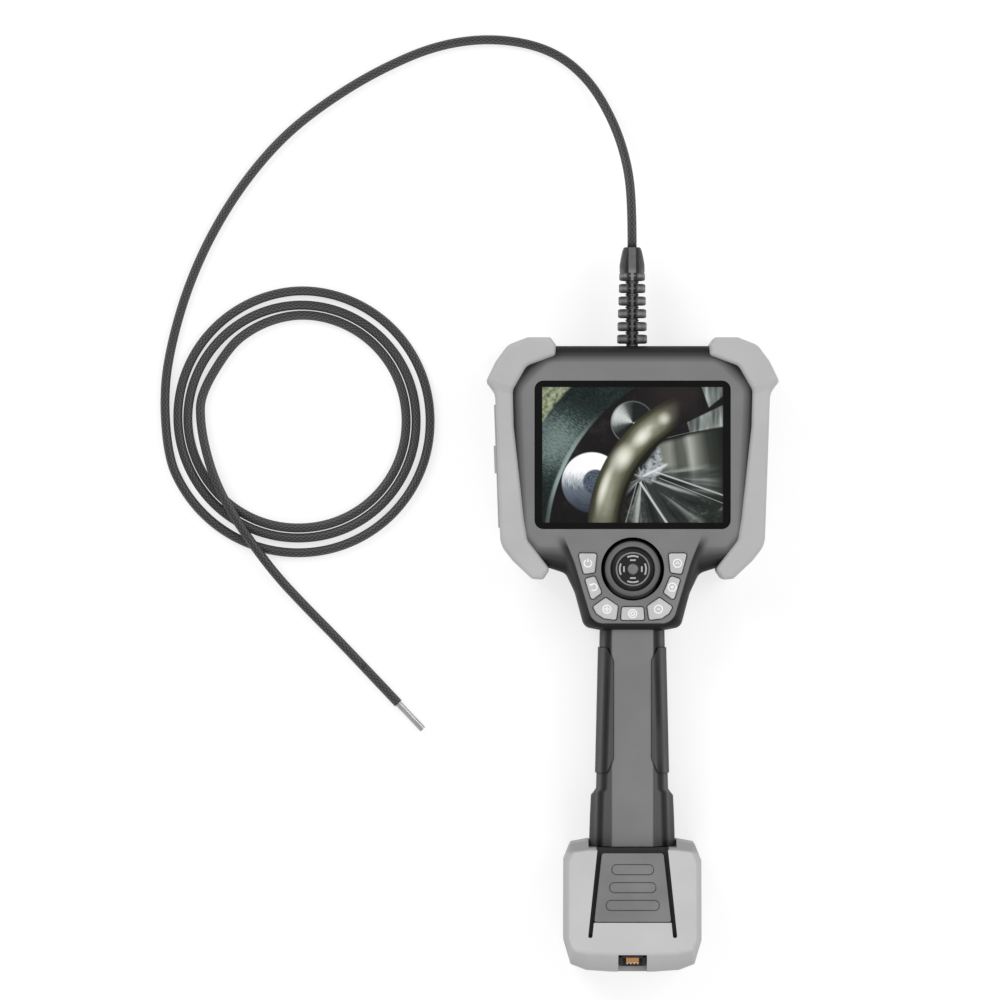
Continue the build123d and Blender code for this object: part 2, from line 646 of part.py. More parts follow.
def pack_shell():
    """The battery's whole wall, before it is split in two."""
    shell = pack_envelope()
    room = prism(offset(sharp_face(mirrored(PACK_HALF)), amount=-PACK_WALL), PACK_WALL, LATCH_Z[0] - 1.6)
    room &= block((-50, 50), (-200, PACK_SEAT_Y - PACK_WALL), (0, 60))
    room -= notch(grow=PACK_WALL, floor_drop=PACK_WALL)
    shell -= room
    shell -= handle_body(0.5, PACK_SEAT_Y)
    shell -= block((-24.8, 24.8), (PACK_SEAT_Y, -90), (20, 60))
    half = [(LATCH_HALF[0][0] + LATCH_GAP, PACK_SEAT_Y + 0.1), (LATCH_HALF[1][0] + LATCH_GAP, -150.6)]
    shell -= prism(sharp_face(mirrored(half)), LATCH_Z[0] - 0.2, PACK_Z + 1)
    for side in (-1, 1):
        shell -= groove(side)
    return shell - notch() - blades(0.4)


def pack_half(shell, z, column_z):
    """One half of the battery's wall, with its screw columns."""
    half = shell & block((-60, 60), (-200, 0), z)
    for x, y in both_sides(PACK_BOSSES):
        half += upright(x, y, column_z[0], column_z[1], PACK_BOSS_R)
    for x, y in both_sides(PACK_BOSSES):
        half -= upright(x, y, -1, PACK_Z - 8, SCREW_R + SCREW_FIT)
        half -= upright(x, y, -1, SCREW_SINK, SCREW_HEAD_R + 0.1)
    return half


def pack_cells():
    top = PACK_SEAT_Y - PACK_WALL - 0.1
    cells = []
    for index in (-1, 0, 1):
        start = (index * CELL_PITCH, top, PACK_WALL + CELL_R + 0.1)
        cells.append(rod(start, (0, -1, 0), CELL_R, CELL_LENGTH))
    return Compound(children=cells)


def pack_board():
    board = block((-34.3, 34.3), (-167, -115), (PACK_BOARD_Z, PACK_BOARD_Z + PACK_BOARD_THICK))
    board -= notch(grow=PACK_WALL + 0.5, floor_drop=PACK_WALL + 0.5)
    for x, y in both_sides(PACK_BOSSES):
        board -= upright(x, y, 0, 60, SCREW_R + SCREW_FIT)
    return board


def pack_latch():
    """Sliding panel with three finger ribs."""
    panel = prism(sharp_face(mirrored(LATCH_HALF)), LATCH_Z[0], LATCH_Z[1])
    for y, width in RIBS:
        pill = Pos(0, y) * SlotOverall(width, RIB_HEIGHT)
        ring = pill - offset(pill, amount=-1.1)
        panel += prism(ring, LATCH_Z[1] - 0.5, LATCH_Z[1] + RIB_PROUD)
    return panel


def charge_contact():
    width, depth, height = CONTACT
    top = NOTCH[1] - 0.4
    return block((-width / 2, width / 2), (top - depth, top), (NOTCH[2], NOTCH[2] + height))


# ---------------------------------------------------------------- insertion tube
def arc_radii(route):
    """Largest radius that each corner's two runs allow."""
    points = [Vector(*point) for point in route]
    radii = []
    for before, corner, after in zip(points, points[1:], points[2:]):
        turn = math.radians((corner - before).get_angle(after - corner))
        shorter = min((corner - before).length, (after - corner).length)
        radii.append(0.45 * shorter / math.tan(turn / 2))
    return radii


def tube(name, route):
    """Round tube along straight runs joined by tangent arcs."""
    radii = arc_radii(route)
    path = FilletPolyline(*route, radius=radii)
    start = Plane(origin=route[0], z_dir=Vector(*route[1]) - Vector(*route[0]))
    solid = sweep(start * Circle(TUBE_D / 2), path=path)
    expected = math.pi * TUBE_D ** 2 / 4 * path.length
    print(name, "length", round(path.length, 1), "volume ratio", round(solid.volume / expected, 4),
          "radii", [round(radius) for radius in radii])
    return solid


def coil_radius(angle):
    """Centre line radius, from the radii at each quarter turn."""
    position = (angle - 180) / 90
    index = min(int(position), len(COIL_QUARTERS) - 2)
    share = position - index
    return COIL_QUARTERS[index] * (1 - share) + COIL_QUARTERS[index + 1] * share


def coil_point(angle, shift=0.0):
    radius = coil_radius(angle) + shift
    turn = math.radians(angle)
    return (COIL_CENTRE[0] + radius * math.cos(turn), COIL_CENTRE[1] + radius * math.sin(turn))


def spiral_face(first, shift):
    """Face inside one turn of the coil's spiral, closed by a straight step."""
    angles = range(first, first + 361, COIL_STEP)
    points = [coil_point(angle, shift) for angle in angles]
    return make_face([Spline(*points), Line(points[-1], points[0])])


def cable_coil():
    """Outer shape of the coil: a flat ring with a step where each end leaves it."""
    outside = spiral_face(180, TUBE_D / 2)
    inside = spiral_face(COIL_END_ANGLE - 360, -TUBE_D / 2)
    length = sum(math.dist(coil_point(angle), coil_point(angle + 5))
                 for angle in range(180, COIL_END_ANGLE, 5))
    print("coil centre line length", round(length, 1))
    return prism(outside - inside, TUBE_Z - TUBE_D / 2, TUBE_Z + TUBE_D / 2)


def tip_direction():
    return (Vector(*TAIL_ROUTE[-1]) - Vector(*TAIL_ROUTE[-2])).normalized()


def tip_point(distance):
    return Vector(*TAIL_ROUTE[-1]) + tip_direction() * distance


def tip_rod(start, end, radius):
    return rod(tip_point(start), tip_direction(), radius, end - start)


def cupped(solid, distance):
    place = tip_point(distance)
    return solid - Pos(place.X, place.Y, place.Z) * Sphere(LINK_CUP_R)


def cup_edge(distance):
    """Where a link ends, so that its rim stands on the next link's cup."""
    return distance - math.sqrt(LINK_CUP_R ** 2 - (TUBE_D / 2) ** 2)


def bend_ferrule():
    return cupped(tip_rod(0, cup_edge(LINK_PIVOTS[0]), TUBE_D / 2), LINK_PIVOTS[0])


def bend_link(index):
    """Link of the bending section: a ball behind, a cup in front."""
    start = LINK_PIVOTS[index]
    place = tip_point(start)
    ball = Pos(place.X, place.Y, place.Z) * Sphere(LINK_BALL_R)
    if index + 1 < len(LINK_PIVOTS):
        following = LINK_PIVOTS[index + 1]
        return cupped(ball + tip_rod(start, cup_edge(following), TUBE_D / 2), following)
    return ball + tip_rod(start, LINK_END, TUBE_D / 2)


def tip_lights(length):
    """Lamps around the lens, or the holes for them."""
    lamps = []
    place = Plane(origin=tip_point(LINK_END + TIP_LENGTH - length), z_dir=tip_direction())
    for index in range(6):
        turn = math.radians(60 * index)
        spot = Pos(TIP_LIGHT_RING * math.cos(turn), TIP_LIGHT_RING * math.sin(turn), length / 2)
        lamps.append(place * (spot * Cylinder(TIP_LIGHT_R, length)))
    return Compound(children=lamps)


def tip_lens():
    end = LINK_END + TIP_LENGTH
    return tip_rod(end - LENS_DEPTH, end - 0.2, LENS_R)


def tip_tube():
    end = LINK_END + TIP_LENGTH
    body = tip_rod(LINK_END, end, TIP_R) - tip_rod(end - LENS_DEPTH, end + 1, LENS_R)
    return body - tip_lights(0.6)


def build():
    save("front_housing", front_housing())
    save("rear_housing", rear_housing())
    save("housing_seal", housing_seal())
    save("housing_screws", screw_group(both_sides(HEAD_BOSSES), BACK_Z, SPLIT_Z + 9))
    save("bumper_left", bumper(-1))
    save("bumper_right", bumper(1))
    save("port_cover", port_cover())
    save("port_block", port_block())
    save("screen_window", screen_window())
    save("screen_bezel", screen_bezel())
    save("lcd_module", lcd_module())
    save("main_board", main_board())
    save("key_board", key_board())
    save("key_domes", key_domes())
    for name, corners in key_outlines().items():
        save(name, key(corners))
    save("joystick_base", joystick_base())
    save("gimbal_ring", gimbal_ring())
    save("joystick_stem", joystick_stem())
    save("joystick_skirt", joystick_skirt())
    save("joystick_cap", joystick_cap())
    save("steering_frame", steering_frame())
    save("steering_motors", steering_motors())
    save("pan_drum", drum(DRUM_X[0]))
    save("tilt_drum", drum(DRUM_X[1]))
    save("light_engine", light_engine())
    save("gland_bush", gland_solid())
    save("strain_relief", strain_relief())
    shell = handle_shell()
    save("handle_front", shell & block((-60, 60), (-200, 60), (HANDLE_SPLIT_Z, 80)))
    save("handle_rear", shell & block((-60, 60), (-200, 60), (-20, HANDLE_SPLIT_Z)))
    save("handle_screws", screw_group(HANDLE_BOSSES, HANDLE_Z[0], HANDLE_SPLIT_Z + 9))
    save("grip_left", grip(-1))
    save("grip_right", grip(1))
    save("dock_block", dock_block())
    save("dock_contacts", blades(0))
    pack = pack_shell()
    board_top = PACK_BOARD_Z + PACK_BOARD_THICK
    save("pack_front", pack_half(pack, (PACK_SPLIT_Z, 80), (board_top, PACK_Z - 5)))
    save("pack_rear", pack_half(pack, (-20, PACK_SPLIT_Z), (1, PACK_BOARD_Z)))
    save("pack_cells", pack_cells())
    save("pack_board", pack_board())
    save("pack_screws", screw_group(both_sides(PACK_BOSSES), 0, PACK_Z - 9))
    save("pack_latch", pack_latch())
    save("charge_contact", charge_contact())
    save("cable_lead", tube("lead", LEAD_ROUTE))
    save("cable_coil", cable_coil())
    save("cable_tail", tube("tail", TAIL_ROUTE))
    save("bend_ferrule", bend_ferrule())
    for index in range(len(LINK_PIVOTS)):
        save(f"bend_link_{index + 1}", bend_link(index))
    save("tip_tube", tip_tube())
    save("tip_lens", tip_lens())
    save("tip_lights", tip_lights(0.6))


build()
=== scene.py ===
"""Looks of the handheld inspection camera: shells, keys, joystick, screen and the woven tube."""
import bpy
import bmesh
import math
from mathutils import Matrix, Vector


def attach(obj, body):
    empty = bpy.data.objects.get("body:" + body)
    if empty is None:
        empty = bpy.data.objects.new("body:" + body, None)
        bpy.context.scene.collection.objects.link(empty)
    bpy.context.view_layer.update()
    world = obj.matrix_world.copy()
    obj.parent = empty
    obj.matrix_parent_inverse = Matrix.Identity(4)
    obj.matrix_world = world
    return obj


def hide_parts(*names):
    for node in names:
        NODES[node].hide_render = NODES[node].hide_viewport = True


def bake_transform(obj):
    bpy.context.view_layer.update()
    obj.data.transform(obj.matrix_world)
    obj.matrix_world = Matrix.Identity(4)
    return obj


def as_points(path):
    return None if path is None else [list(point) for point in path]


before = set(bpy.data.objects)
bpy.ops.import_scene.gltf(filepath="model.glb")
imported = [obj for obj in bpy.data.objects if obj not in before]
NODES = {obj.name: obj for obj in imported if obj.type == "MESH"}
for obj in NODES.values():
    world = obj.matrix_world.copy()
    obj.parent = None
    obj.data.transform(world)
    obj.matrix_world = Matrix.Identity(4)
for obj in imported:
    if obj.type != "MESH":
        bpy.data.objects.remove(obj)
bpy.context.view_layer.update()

MM = 0.001


def mm(*values):
    """A point or size in millimetres, in the scene's metres."""
    return Vector([value * MM for value in values])


# ---------------------------------------------------------------- camera, light and floor
VIEW_CENTRE = (-74.6, 87.0)     # middle of the view, millimetres
VIEW_WIDTH = 564.0
VIEW_HEIGHT = 30.0              # the view is this wide at this height above the floor
LENS = 300.0
SENSOR = 36.0
SOFT_BOX = 1.0                  # side of each lamp, metres
LAMPS = {"key_box": ((-1.05, 1.15, 1.25), 13.0), "side_box": ((1.25, 0.55, 1.25), 9.0),
         "low_box": ((0.10, -1.25, 1.15), 6.0)}
FLOOR_REACH = 4.0
FLOOR_DROP = 0.0003             # a hair under the object, so that the two faces don't coincide


def add_camera():
    data = bpy.data.cameras.new("camera")
    data.lens = LENS
    data.sensor_width = SENSOR
    data.clip_end = 50.0
    camera = new_piece("camera", data)
    camera.location = mm(*VIEW_CENTRE, VIEW_WIDTH * LENS / SENSOR + VIEW_HEIGHT)
    bpy.context.scene.camera = camera


def add_studio():
    """White surroundings and square soft boxes that face the object."""
    world = bpy.data.worlds.new("studio")
    world.use_nodes = True
    background = world.node_tree.nodes["Background"]
    background.inputs["Color"].default_value = (1.0, 1.0, 1.0, 1.0)
    background.inputs["Strength"].default_value = 0.55
    bpy.context.scene.world = world
    bpy.context.scene.view_settings.view_transform = "Standard"
    for name, (place, power) in LAMPS.items():
        data = bpy.data.lights.new(name, "AREA")
        data.size = SOFT_BOX
        data.energy = power
        lamp = new_piece(name, data)
        lamp.location = place
        lamp.rotation_euler = (-Vector(place)).to_track_quat("-Z", "Y").to_euler()


def add_floor():
    """Pale paper that glows a little, so that it shows as plain white."""
    mesh = bpy.data.meshes.new("floor")
    corners = [(x * FLOOR_REACH, y * FLOOR_REACH, -FLOOR_DROP)
               for x, y in ((-1, -1), (1, -1), (1, 1), (-1, 1))]
    mesh.from_pydata(corners, [], [(0, 1, 2, 3)])
    paper = Finish("floor_paper", grey(0.40, 0), 0.9, Specular_IOR_Level=0.1,
                   Emission_Color=grey(1.0, 0), Emission_Strength=0.66)
    mesh.materials.append(paper.material)
    floor = new_piece("floor", mesh)


# ---------------------------------------------------------------- shader maths
class Value:
    """A shader socket. Arithmetic on it adds Math nodes."""

    def __init__(self, finish, socket):
        self.finish = finish
        self.socket = socket

    def maths(self, operation, *terms):
        return self.finish.add("Math", {"operation": operation}, dict(enumerate(terms)))

    def __add__(self, other):
        return self.maths("ADD", self, other)

    __radd__ = __add__

    def __sub__(self, other):
        return self.maths("SUBTRACT", self, other)

    def __rsub__(self, other):
        return self.maths("SUBTRACT", other, self)

    def __mul__(self, other):
        return self.maths("MULTIPLY", self, other)

    __rmul__ = __mul__

    def __truediv__(self, other):
        return self.maths("DIVIDE", self, other)

    def __pow__(self, other):
        return self.maths("POWER", self, other)

    def __abs__(self):
        return self.maths("ABSOLUTE", self)

    def least(self, other):
        return self.maths("MINIMUM", self, other)

    def most(self, other):
        return self.maths("MAXIMUM", self, other)

    def zigzag(self, height):
        """Climbs to a height and falls back to nothing, again and again."""
        return self.maths("PINGPONG", self, height)

    def above(self, edge, soft):
        """1 where the value is over an edge, 0 under it, with a soft step between."""
        settings = {"interpolation_type": "SMOOTHSTEP"}
        sockets = {"Value": self, "From Min": edge - soft, "From Max": edge + soft}
        return self.finish.add("MapRange", settings, sockets)

    def below(self, edge, soft):
        return 1 - self.above(edge, soft)


def grey(tone, blue=0.001):
    """Neutral colour with a trace of blue."""
    return (tone, tone, tone + blue)


class Finish:
    """A material with a Principled shader, and the nodes added to it."""

    def __init__(self, name, colour, roughness, metallic=0.0, **extra):
        self.material = bpy.data.materials.new(name)
        self.material.use_nodes = True
        self.tree = self.material.node_tree
        self.shader = self.tree.nodes["Principled BSDF"]
        self.set("Base Color", colour)
        self.set("Roughness", roughness)
        self.set("Metallic", metallic)
        for socket, value in extra.items():
            self.set(socket.replace("_", " "), value)

    def add(self, kind, settings=None, sockets=None, output=0):
        """Adds a node, sets its settings, then its sockets, and gives one of its outputs."""
        node = self.tree.nodes.new("ShaderNode" + kind)
        for name, value in (settings or {}).items():
            if name == "stops":
                self.set_stops(node.color_ramp, value)
            else:
                setattr(node, name, value)
        for name, value in (sockets or {}).items():
            self.join(node.inputs[name], value)
        return Value(self, node.outputs[output])

    @staticmethod
    def set_stops(ramp, stops):
        while len(ramp.elements) < len(stops):
            ramp.elements.new(1.0)
        for element, (place, colour) in zip(ramp.elements, stops):
            element.position = place
            element.color = (*colour, 1.0)

    def join(self, socket, value):
        if isinstance(value, Value):
            self.tree.links.new(value.socket, socket)
        elif socket.type == "RGBA" and len(value) == 3:
            socket.default_value = (*value, 1.0)
        else:
            socket.default_value = value

    def set(self, socket, value):
        self.join(self.shader.inputs[socket], value)

    def place(self):
        """Object coordinates, in metres."""
        return self.add("TexCoord", output="Object")

    def axes(self, vector=None):
        vector = vector or self.place()
        return [self.add("SeparateXYZ", sockets={0: vector}, output=index) for index in range(3)]

    def vector(self, x, y, z):
        return self.add("CombineXYZ", sockets={0: x, 1: y, 2: z})

    def noise(self, scale, detail, vector=None):
        sockets = {"Vector": vector or self.place(), "Scale": scale, "Detail": detail}
        return self.add("TexNoise", sockets=sockets)

    def cells(self, scale):
        return self.add("TexVoronoi", sockets={"Vector": self.place(), "Scale": scale})

    def blend(self, factor, first, second):
        """Colour between two colours."""
        return self.add("Mix", {"data_type": "RGBA"}, {0: factor, 6: first, 7: second}, output=2)

    def clouds(self, scale, first, second, middle=0.5, soft=0.25, detail=4.0):
        """Two colours in soft patches."""
        return self.blend(self.noise(scale, detail).above(middle, soft), first, second)

    def ramp(self, value, *stops):
        return self.add("ValToRGB", {"stops": stops}, {0: value})

    def gloss(self, low, spread, scale, detail=3.0):
        """Roughness that varies a little from place to place."""
        self.set("Roughness", low + spread * self.noise(scale, detail))

    def slope(self):
        """Upward part of the surface's own direction, 1 on a face that looks up."""
        normal = self.add("TexCoord", output="Normal")
        return self.axes(normal)[2]

    def bump(self, height, distance, strength=1.0):
        sockets = {"Height": height, "Distance": distance, "Strength": strength}
        self.set("Normal", self.add("Bump", sockets=sockets))


# ---------------------------------------------------------------- mesh helpers
EDGE_STEPS = 6
SHARP = (0.01, 0.01)    # width and height of an edge that is as good as sharp


def within(value):
    """A share, kept between 0 and 1."""
    return min(max(value, 0), 1)


def both_ends(radii):
    return radii + radii[::-1]


def mirrored(half):
    return half + [(-x, y) for x, y in reversed(half)]


def corner_loop(corners, radii, inset, steps=EDGE_STEPS):
    """Outline with rounded corners, moved inwards by an amount. Millimetres in, millimetres out."""
    count = len(corners)
    area = sum(corners[i - 1][0] * corners[i][1] - corners[i][0] * corners[i - 1][1]
               for i in range(count))
    side = 1.0 if area > 0 else -1.0
    points = [Vector(corner) for corner in corners]
    runs = [(points[(i + 1) % count] - points[i]).normalized() for i in range(count)]
    normals = [Vector((-run.y, run.x)) * side for run in runs]
    moved = []
    for i in range(count):
        first, second = normals[i - 1], normals[i]
        moved.append(points[i] + (first + second) * (inset / (1 + first.dot(second))))
    loop = []
    for i in range(count):
        before, after = runs[i - 1], runs[i]
        bend = max(before.angle(after), 0.001)
        turn = 1.0 if before.cross(after) > 0 else -1.0
        radius = max(radii[i] - inset if turn == side else radii[i] + inset, 0.3)
        room = min((moved[i] - moved[i - 1]).length, (moved[(i + 1) % count] - moved[i]).length)
        reach = min(radius * math.tan(bend / 2), 0.47 * room)
        start = moved[i] - before * reach
        centre = start + Vector((-before.y, before.x)) * turn * reach / math.tan(bend / 2)
        for k in range(steps + 1):
            loop.append(centre + Matrix.Rotation(turn * bend * k / steps, 2) @ (start - centre))
    return loop


def edge_turns():
    return [math.radians(90 * k / EDGE_STEPS) for k in range(EDGE_STEPS + 1)]


def rounded_top(high, edge):
    """Side profile of a rounded top edge with a width and a height: (inset, height) pairs."""
    return [(edge[0] * (1 - math.cos(a)), high - edge[1] * (1 - math.sin(a))) for a in edge_turns()]


def rounded(low, high, bottom, top):
    """Side profile whose bottom and top edges are both rounded."""
    lower = [(bottom[0] * (1 - math.sin(a)), low + bottom[1] * (1 - math.cos(a))) for a in edge_turns()]
    return lower + rounded_top(high, top)


def new_piece(name, data):
    piece = bpy.data.objects.new(name, data)
    bpy.context.scene.collection.objects.link(piece)
    return piece


def piece_from(name, shape):
    """Piece from a finished bmesh."""
    mesh = bpy.data.meshes.new(name)
    shape.to_mesh(mesh)
    shape.free()
    return new_piece(name, mesh)


def final_mesh(piece):
    """Mesh of a piece with its modifiers and curves worked out."""
    graph = bpy.context.evaluated_depsgraph_get()
    return bpy.data.meshes.new_from_object(piece.evaluated_get(graph))


def skin(name, loops, ring=True):
    """Closed mesh over a stack of loops of points, in millimetres."""
    shape = bmesh.new()
    rows = [[shape.verts.new(mm(*point)) for point in loop] for loop in loops]
    for lower, upper in zip(rows, rows[1:]):
        for i in range(len(lower)):
            j = (i + 1) % len(lower)
            shape.faces.new((lower[i], lower[j], upper[j], upper[i]))
    if ring:
        shape.faces.new(rows[0][::-1])
        shape.faces.new(rows[-1])
    bmesh.ops.remove_doubles(shape, verts=shape.verts, dist=1e-6)
    bmesh.ops.recalc_face_normals(shape, faces=shape.faces)
    return piece_from(name, shape)


def slab(name, corners, radii, profile, steps=EDGE_STEPS):
    """Solid over an outline, with a side profile of (inset, height) pairs."""
    loops = []
    for inset, height in profile:
        loops.append([(*point, height) for point in corner_loop(corners, radii, inset, steps)])
    return skin(name, loops)


def rounded_block(name, size, centre, radius, low, high, edge):
    """Upright block with round corners and a rounded top edge."""
    return slab(name, rectangle(*size, centre), [radius] * 4, rounded(low, high, SHARP, edge))


def lathe(name, profile, centre=(0, 0), steps=96, hollow=False):
    """Solid turned about an upright axis from (radius, height) pairs."""
    loops = []
    for radius, height in profile:
        loops.append([(centre[0] + max(radius, 0.01) * math.cos(2 * math.pi * k / steps),
                       centre[1] + max(radius, 0.01) * math.sin(2 * math.pi * k / steps), height)
                      for k in range(steps)])
    return skin(name, loops, ring=not hollow)


def rectangle(width, height, centre):
    """Corners of a rectangle around a centre."""
    x, y = width / 2, height / 2
    return [(centre[0] + a * x, centre[1] + b * y) for a, b in ((1, 1), (-1, 1), (-1, -1), (1, -1))]


def cutter(corners, radius, low, high, grow=0.0):
    """Upright prism for cutting, larger than its outline by an amount."""
    return slab("cutter", corners, [radius] * len(corners), [(-grow, low), (-grow, high)])


def cube_cutter(x, y, z):
    """Block between two limits along each axis."""
    return cutter([(x[1], y[1]), (x[0], y[1]), (x[0], y[0]), (x[1], y[0])], 0.01, *z)


def upright(x, y, low, high, radius, steps=32):
    return lathe("post", [(radius, low), (radius, high)], (x, y), steps)


def lying(start, radius, length):
    """Cylinder that runs along Y from a point."""
    post = lathe("post", [(radius, 0), (radius, length)], steps=40)
    post.data.transform(Matrix.Translation(mm(*start)) @ Matrix.Rotation(math.radians(-90), 4, "X"))
    return post


def carve(piece, cutters, operation="DIFFERENCE"):
    """Cuts other solids out of a piece, or joins them to it, and removes them."""
    for solid in cutters:
        change = piece.modifiers.new("carve", "BOOLEAN")
        change.operation = operation
        change.solver = "EXACT"
        change.object = solid
    bpy.context.view_layer.update()
    rough = piece.data
    piece.data = final_mesh(piece)
    piece.modifiers.clear()
    bpy.data.meshes.remove(rough)
    for solid in cutters:
        bpy.data.objects.remove(solid)
    return piece


def slice_of(whole, name, heights):
    """The part of a solid between two heights, as a new piece."""
    part = new_piece(name, whole.data.copy())
    return carve(part, [cube_cutter((-60, 60), (-200, 60), heights)], "INTERSECT")


def sink(piece, lines, direction, over, drop):
    """Adds edges where planes through some points cross a piece, then lowers what lies over a height."""
    shape = bmesh.new()
    shape.from_mesh(piece.data)
    for line in lines:
        everything = shape.verts[:] + shape.edges[:] + shape.faces[:]
        bmesh.ops.bisect_plane(shape, geom=everything, plane_co=mm(*line), plane_no=direction)
    for vertex in shape.verts:
        if vertex.co.z > over * MM:
            vertex.co.z -= drop(vertex.co) * MM
    shape.to_mesh(piece.data)
    shape.free()
    return piece


def soft_edges(piece, width, angle=40):
    """Small rounds on a piece's sharp edges."""
    edge = piece.modifiers.new("edge", "BEVEL")
    edge.width = width * MM
    edge.segments = 2
    edge.limit_method = "ANGLE"
    edge.angle_limit = math.radians(angle)
    return piece


def join(name, pieces):
    """One piece from several."""
    shape = bmesh.new()
    for piece in pieces:
        piece.data.transform(piece.matrix_world)
        shape.from_mesh(piece.data)
        bpy.data.objects.remove(piece)
    return piece_from(name, shape)


def smooth(piece, angle=32):
    """Smooth shading with sharp edges kept, and flat faces kept flat."""
    mesh = piece.data
    mesh.polygons.foreach_set("use_smooth", [True] * len(mesh.polygons))
    mesh.set_sharp_from_angle(angle=math.radians(angle))
    weighting = piece.modifiers.new("even_normals", "WEIGHTED_NORMAL")
    weighting.keep_sharp = True
    return piece


def finish_piece(piece, body, slot_name, finish, *nodes):
    """Gives a piece its material and body, and hides the nodes it stands for; its slot name is not used."""
    piece.data.materials.clear()
    piece.data.materials.append(finish.material)
    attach(piece, body)
    if nodes:
        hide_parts(*nodes)
    return piece


def dress(finish, *names):
    """Puts a finish on CAD nodes that keep their own shape."""
    for name in names:
        node = NODES[name]
        node.data.materials.clear()
        node.data.materials.append(finish.material)


# ---------------------------------------------------------------- insertion tube
TUBE_D = 5.2
TUBE_Z = 2.65           # height of the centre line of a tube that lies on the floor
LEAD_ROUTE = [(0, 229.7, 24), (0, 253.4, 24), (-2.4, 277, 18), (-10.3, 301.9, 9.6),
              (-24.9, 326.7, 4.2), (-46.4, 343.1, TUBE_Z), (-77.4, 349.3, TUBE_Z), (-110.1, 345.3, TUBE_Z),
              (-142.8, 331.2, TUBE_Z), (-171.6, 313.8, TUBE_Z), (-197, 294, TUBE_Z),
              (-219, 268.6, TUBE_Z), (-237, 240.4, TUBE_Z), (-250.5, 211.1, TUBE_Z),
              (-260.1, 180.1, TUBE_Z), (-265.5, 149.1, TUBE_Z)]
COIL_CENTRE = (-187.4, 132.1)
COIL_QUARTERS = [78.1, 75.0, 73.1, 73.6, 69.9, 66.6, 65.2, 65.5, 64.3, 60.9, 59.5, 59.8, 55.8]
COIL_START_ANGLE = 180
COIL_END_ANGLE = 1230
COIL_STEP = 15
TAIL_ROUTE = [(-244.4, 147.4, TUBE_Z), (-244.6, 131.5, 6.6), (-241.2, 113.8, 11.2), (-235.3, 96.0, 13.4),
              (-226.3, 79.1, 13.4), (-215.4, 62.8, 12.6), (-201.5, 44.2, 7.6), (-183.9, 25.4, TUBE_Z),
              (-167.0, 8.4, TUBE_Z), (-151.5, -8.0, TUBE_Z)]
CROSSING_DROP = 0.62    # how much of the rise over the coil is kept where the tube crosses it


def coil_radius(angle):
    """Radius of the coil at an angle, from its radius at each quarter turn."""
    position = (angle - COIL_START_ANGLE) / 90
    index = min(int(position), len(COIL_QUARTERS) - 2)
    share = position - index
    return COIL_QUARTERS[index] * (1 - share) + COIL_QUARTERS[index + 1] * share


def coil_points():
    """Corners of the coil's turns. They stand a little outside it, because the spline cuts them."""
    points = []
    for angle in range(COIL_START_ANGLE + COIL_STEP, COIL_END_ANGLE, COIL_STEP):
        turn = math.radians(angle)
        radius = coil_radius(angle) / math.cos(math.radians(COIL_STEP / 2))
        points.append((COIL_CENTRE[0] + radius * math.cos(turn),
                       COIL_CENTRE[1] + radius * math.sin(turn), TUBE_Z))
    return points


def add_tube_route():
    tail = [(x, y, TUBE_Z + (z - TUBE_Z) * CROSSING_DROP) for x, y, z in TAIL_ROUTE]
    points = LEAD_ROUTE + coil_points() + tail
    curve = bpy.data.curves.new("insertion_tube", "CURVE")
    curve.dimensions = "3D"
    spline = curve.splines.new("NURBS")
    spline.points.add(len(points) - 1)
    for point, place in zip(spline.points, points):
        point.co = (*mm(*place), 1.0)
    spline.order_u = 3
    spline.use_endpoint_u = True
    spline.resolution_u = 8
    return new_piece("insertion_tube", curve)


def route_samples(curve_piece):
    """Points along the tube's centre line, in order."""
    mesh = final_mesh(curve_piece)
    samples = [vertex.co.copy() for vertex in mesh.vertices]
    bpy.data.meshes.remove(mesh)
    return samples


def woven_tube(name, samples, travelled=0.0):
    """Round tube along a line of points, with the place around and along it as its UV map."""
    radius = TUBE_D / 2 * MM
    steps = 20
    shape = bmesh.new()
    weave = shape.loops.layers.uv.new("weave")
    rows, along = [], []
    side = Vector((1, 0, 0))
    for i, sample in enumerate(samples):
        ahead = (samples[min(i + 1, len(samples) - 1)] - samples[max(i - 1, 0)]).normalized()
        side = (side - ahead * side.dot(ahead)).normalized()
        up = ahead.cross(side)
        if i:
            travelled += (sample - samples[i - 1]).length
        rows.append([shape.verts.new(sample + radius * (side * math.cos(2 * math.pi * k / steps)
                                                        + up * math.sin(2 * math.pi * k / steps)))
                     for k in range(steps)])
        along.append(travelled)
    for i in range(len(rows) - 1):
        for k in range(steps):
            j = (k + 1) % steps
            face = shape.faces.new((rows[i][k], rows[i][j], rows[i + 1][j], rows[i + 1][k]))
            face.smooth = True
            spots = ((k, i), (k + 1, i), (k + 1, i + 1), (k, i + 1))
            for corner, (around, row) in zip(face.loops, spots):
                corner[weave].uv = (around / steps, along[row] / (2 * math.pi * radius))
    shape.faces.new(rows[0][::-1])
    shape.faces.new(rows[-1])
    return piece_from(name, shape)


def add_tube():
    """The woven tube, as one tube mesh along its smooth route."""
    route = add_tube_route()
    samples = route_samples(route)
    length = sum((b - a).length for a, b in zip(samples, samples[1:]))
    bpy.data.objects.remove(route)
    return woven_tube("insertion_tube", samples), samples, length


add_camera()
add_studio()
add_floor()
tube, tube_samples, tube_length = add_tube()

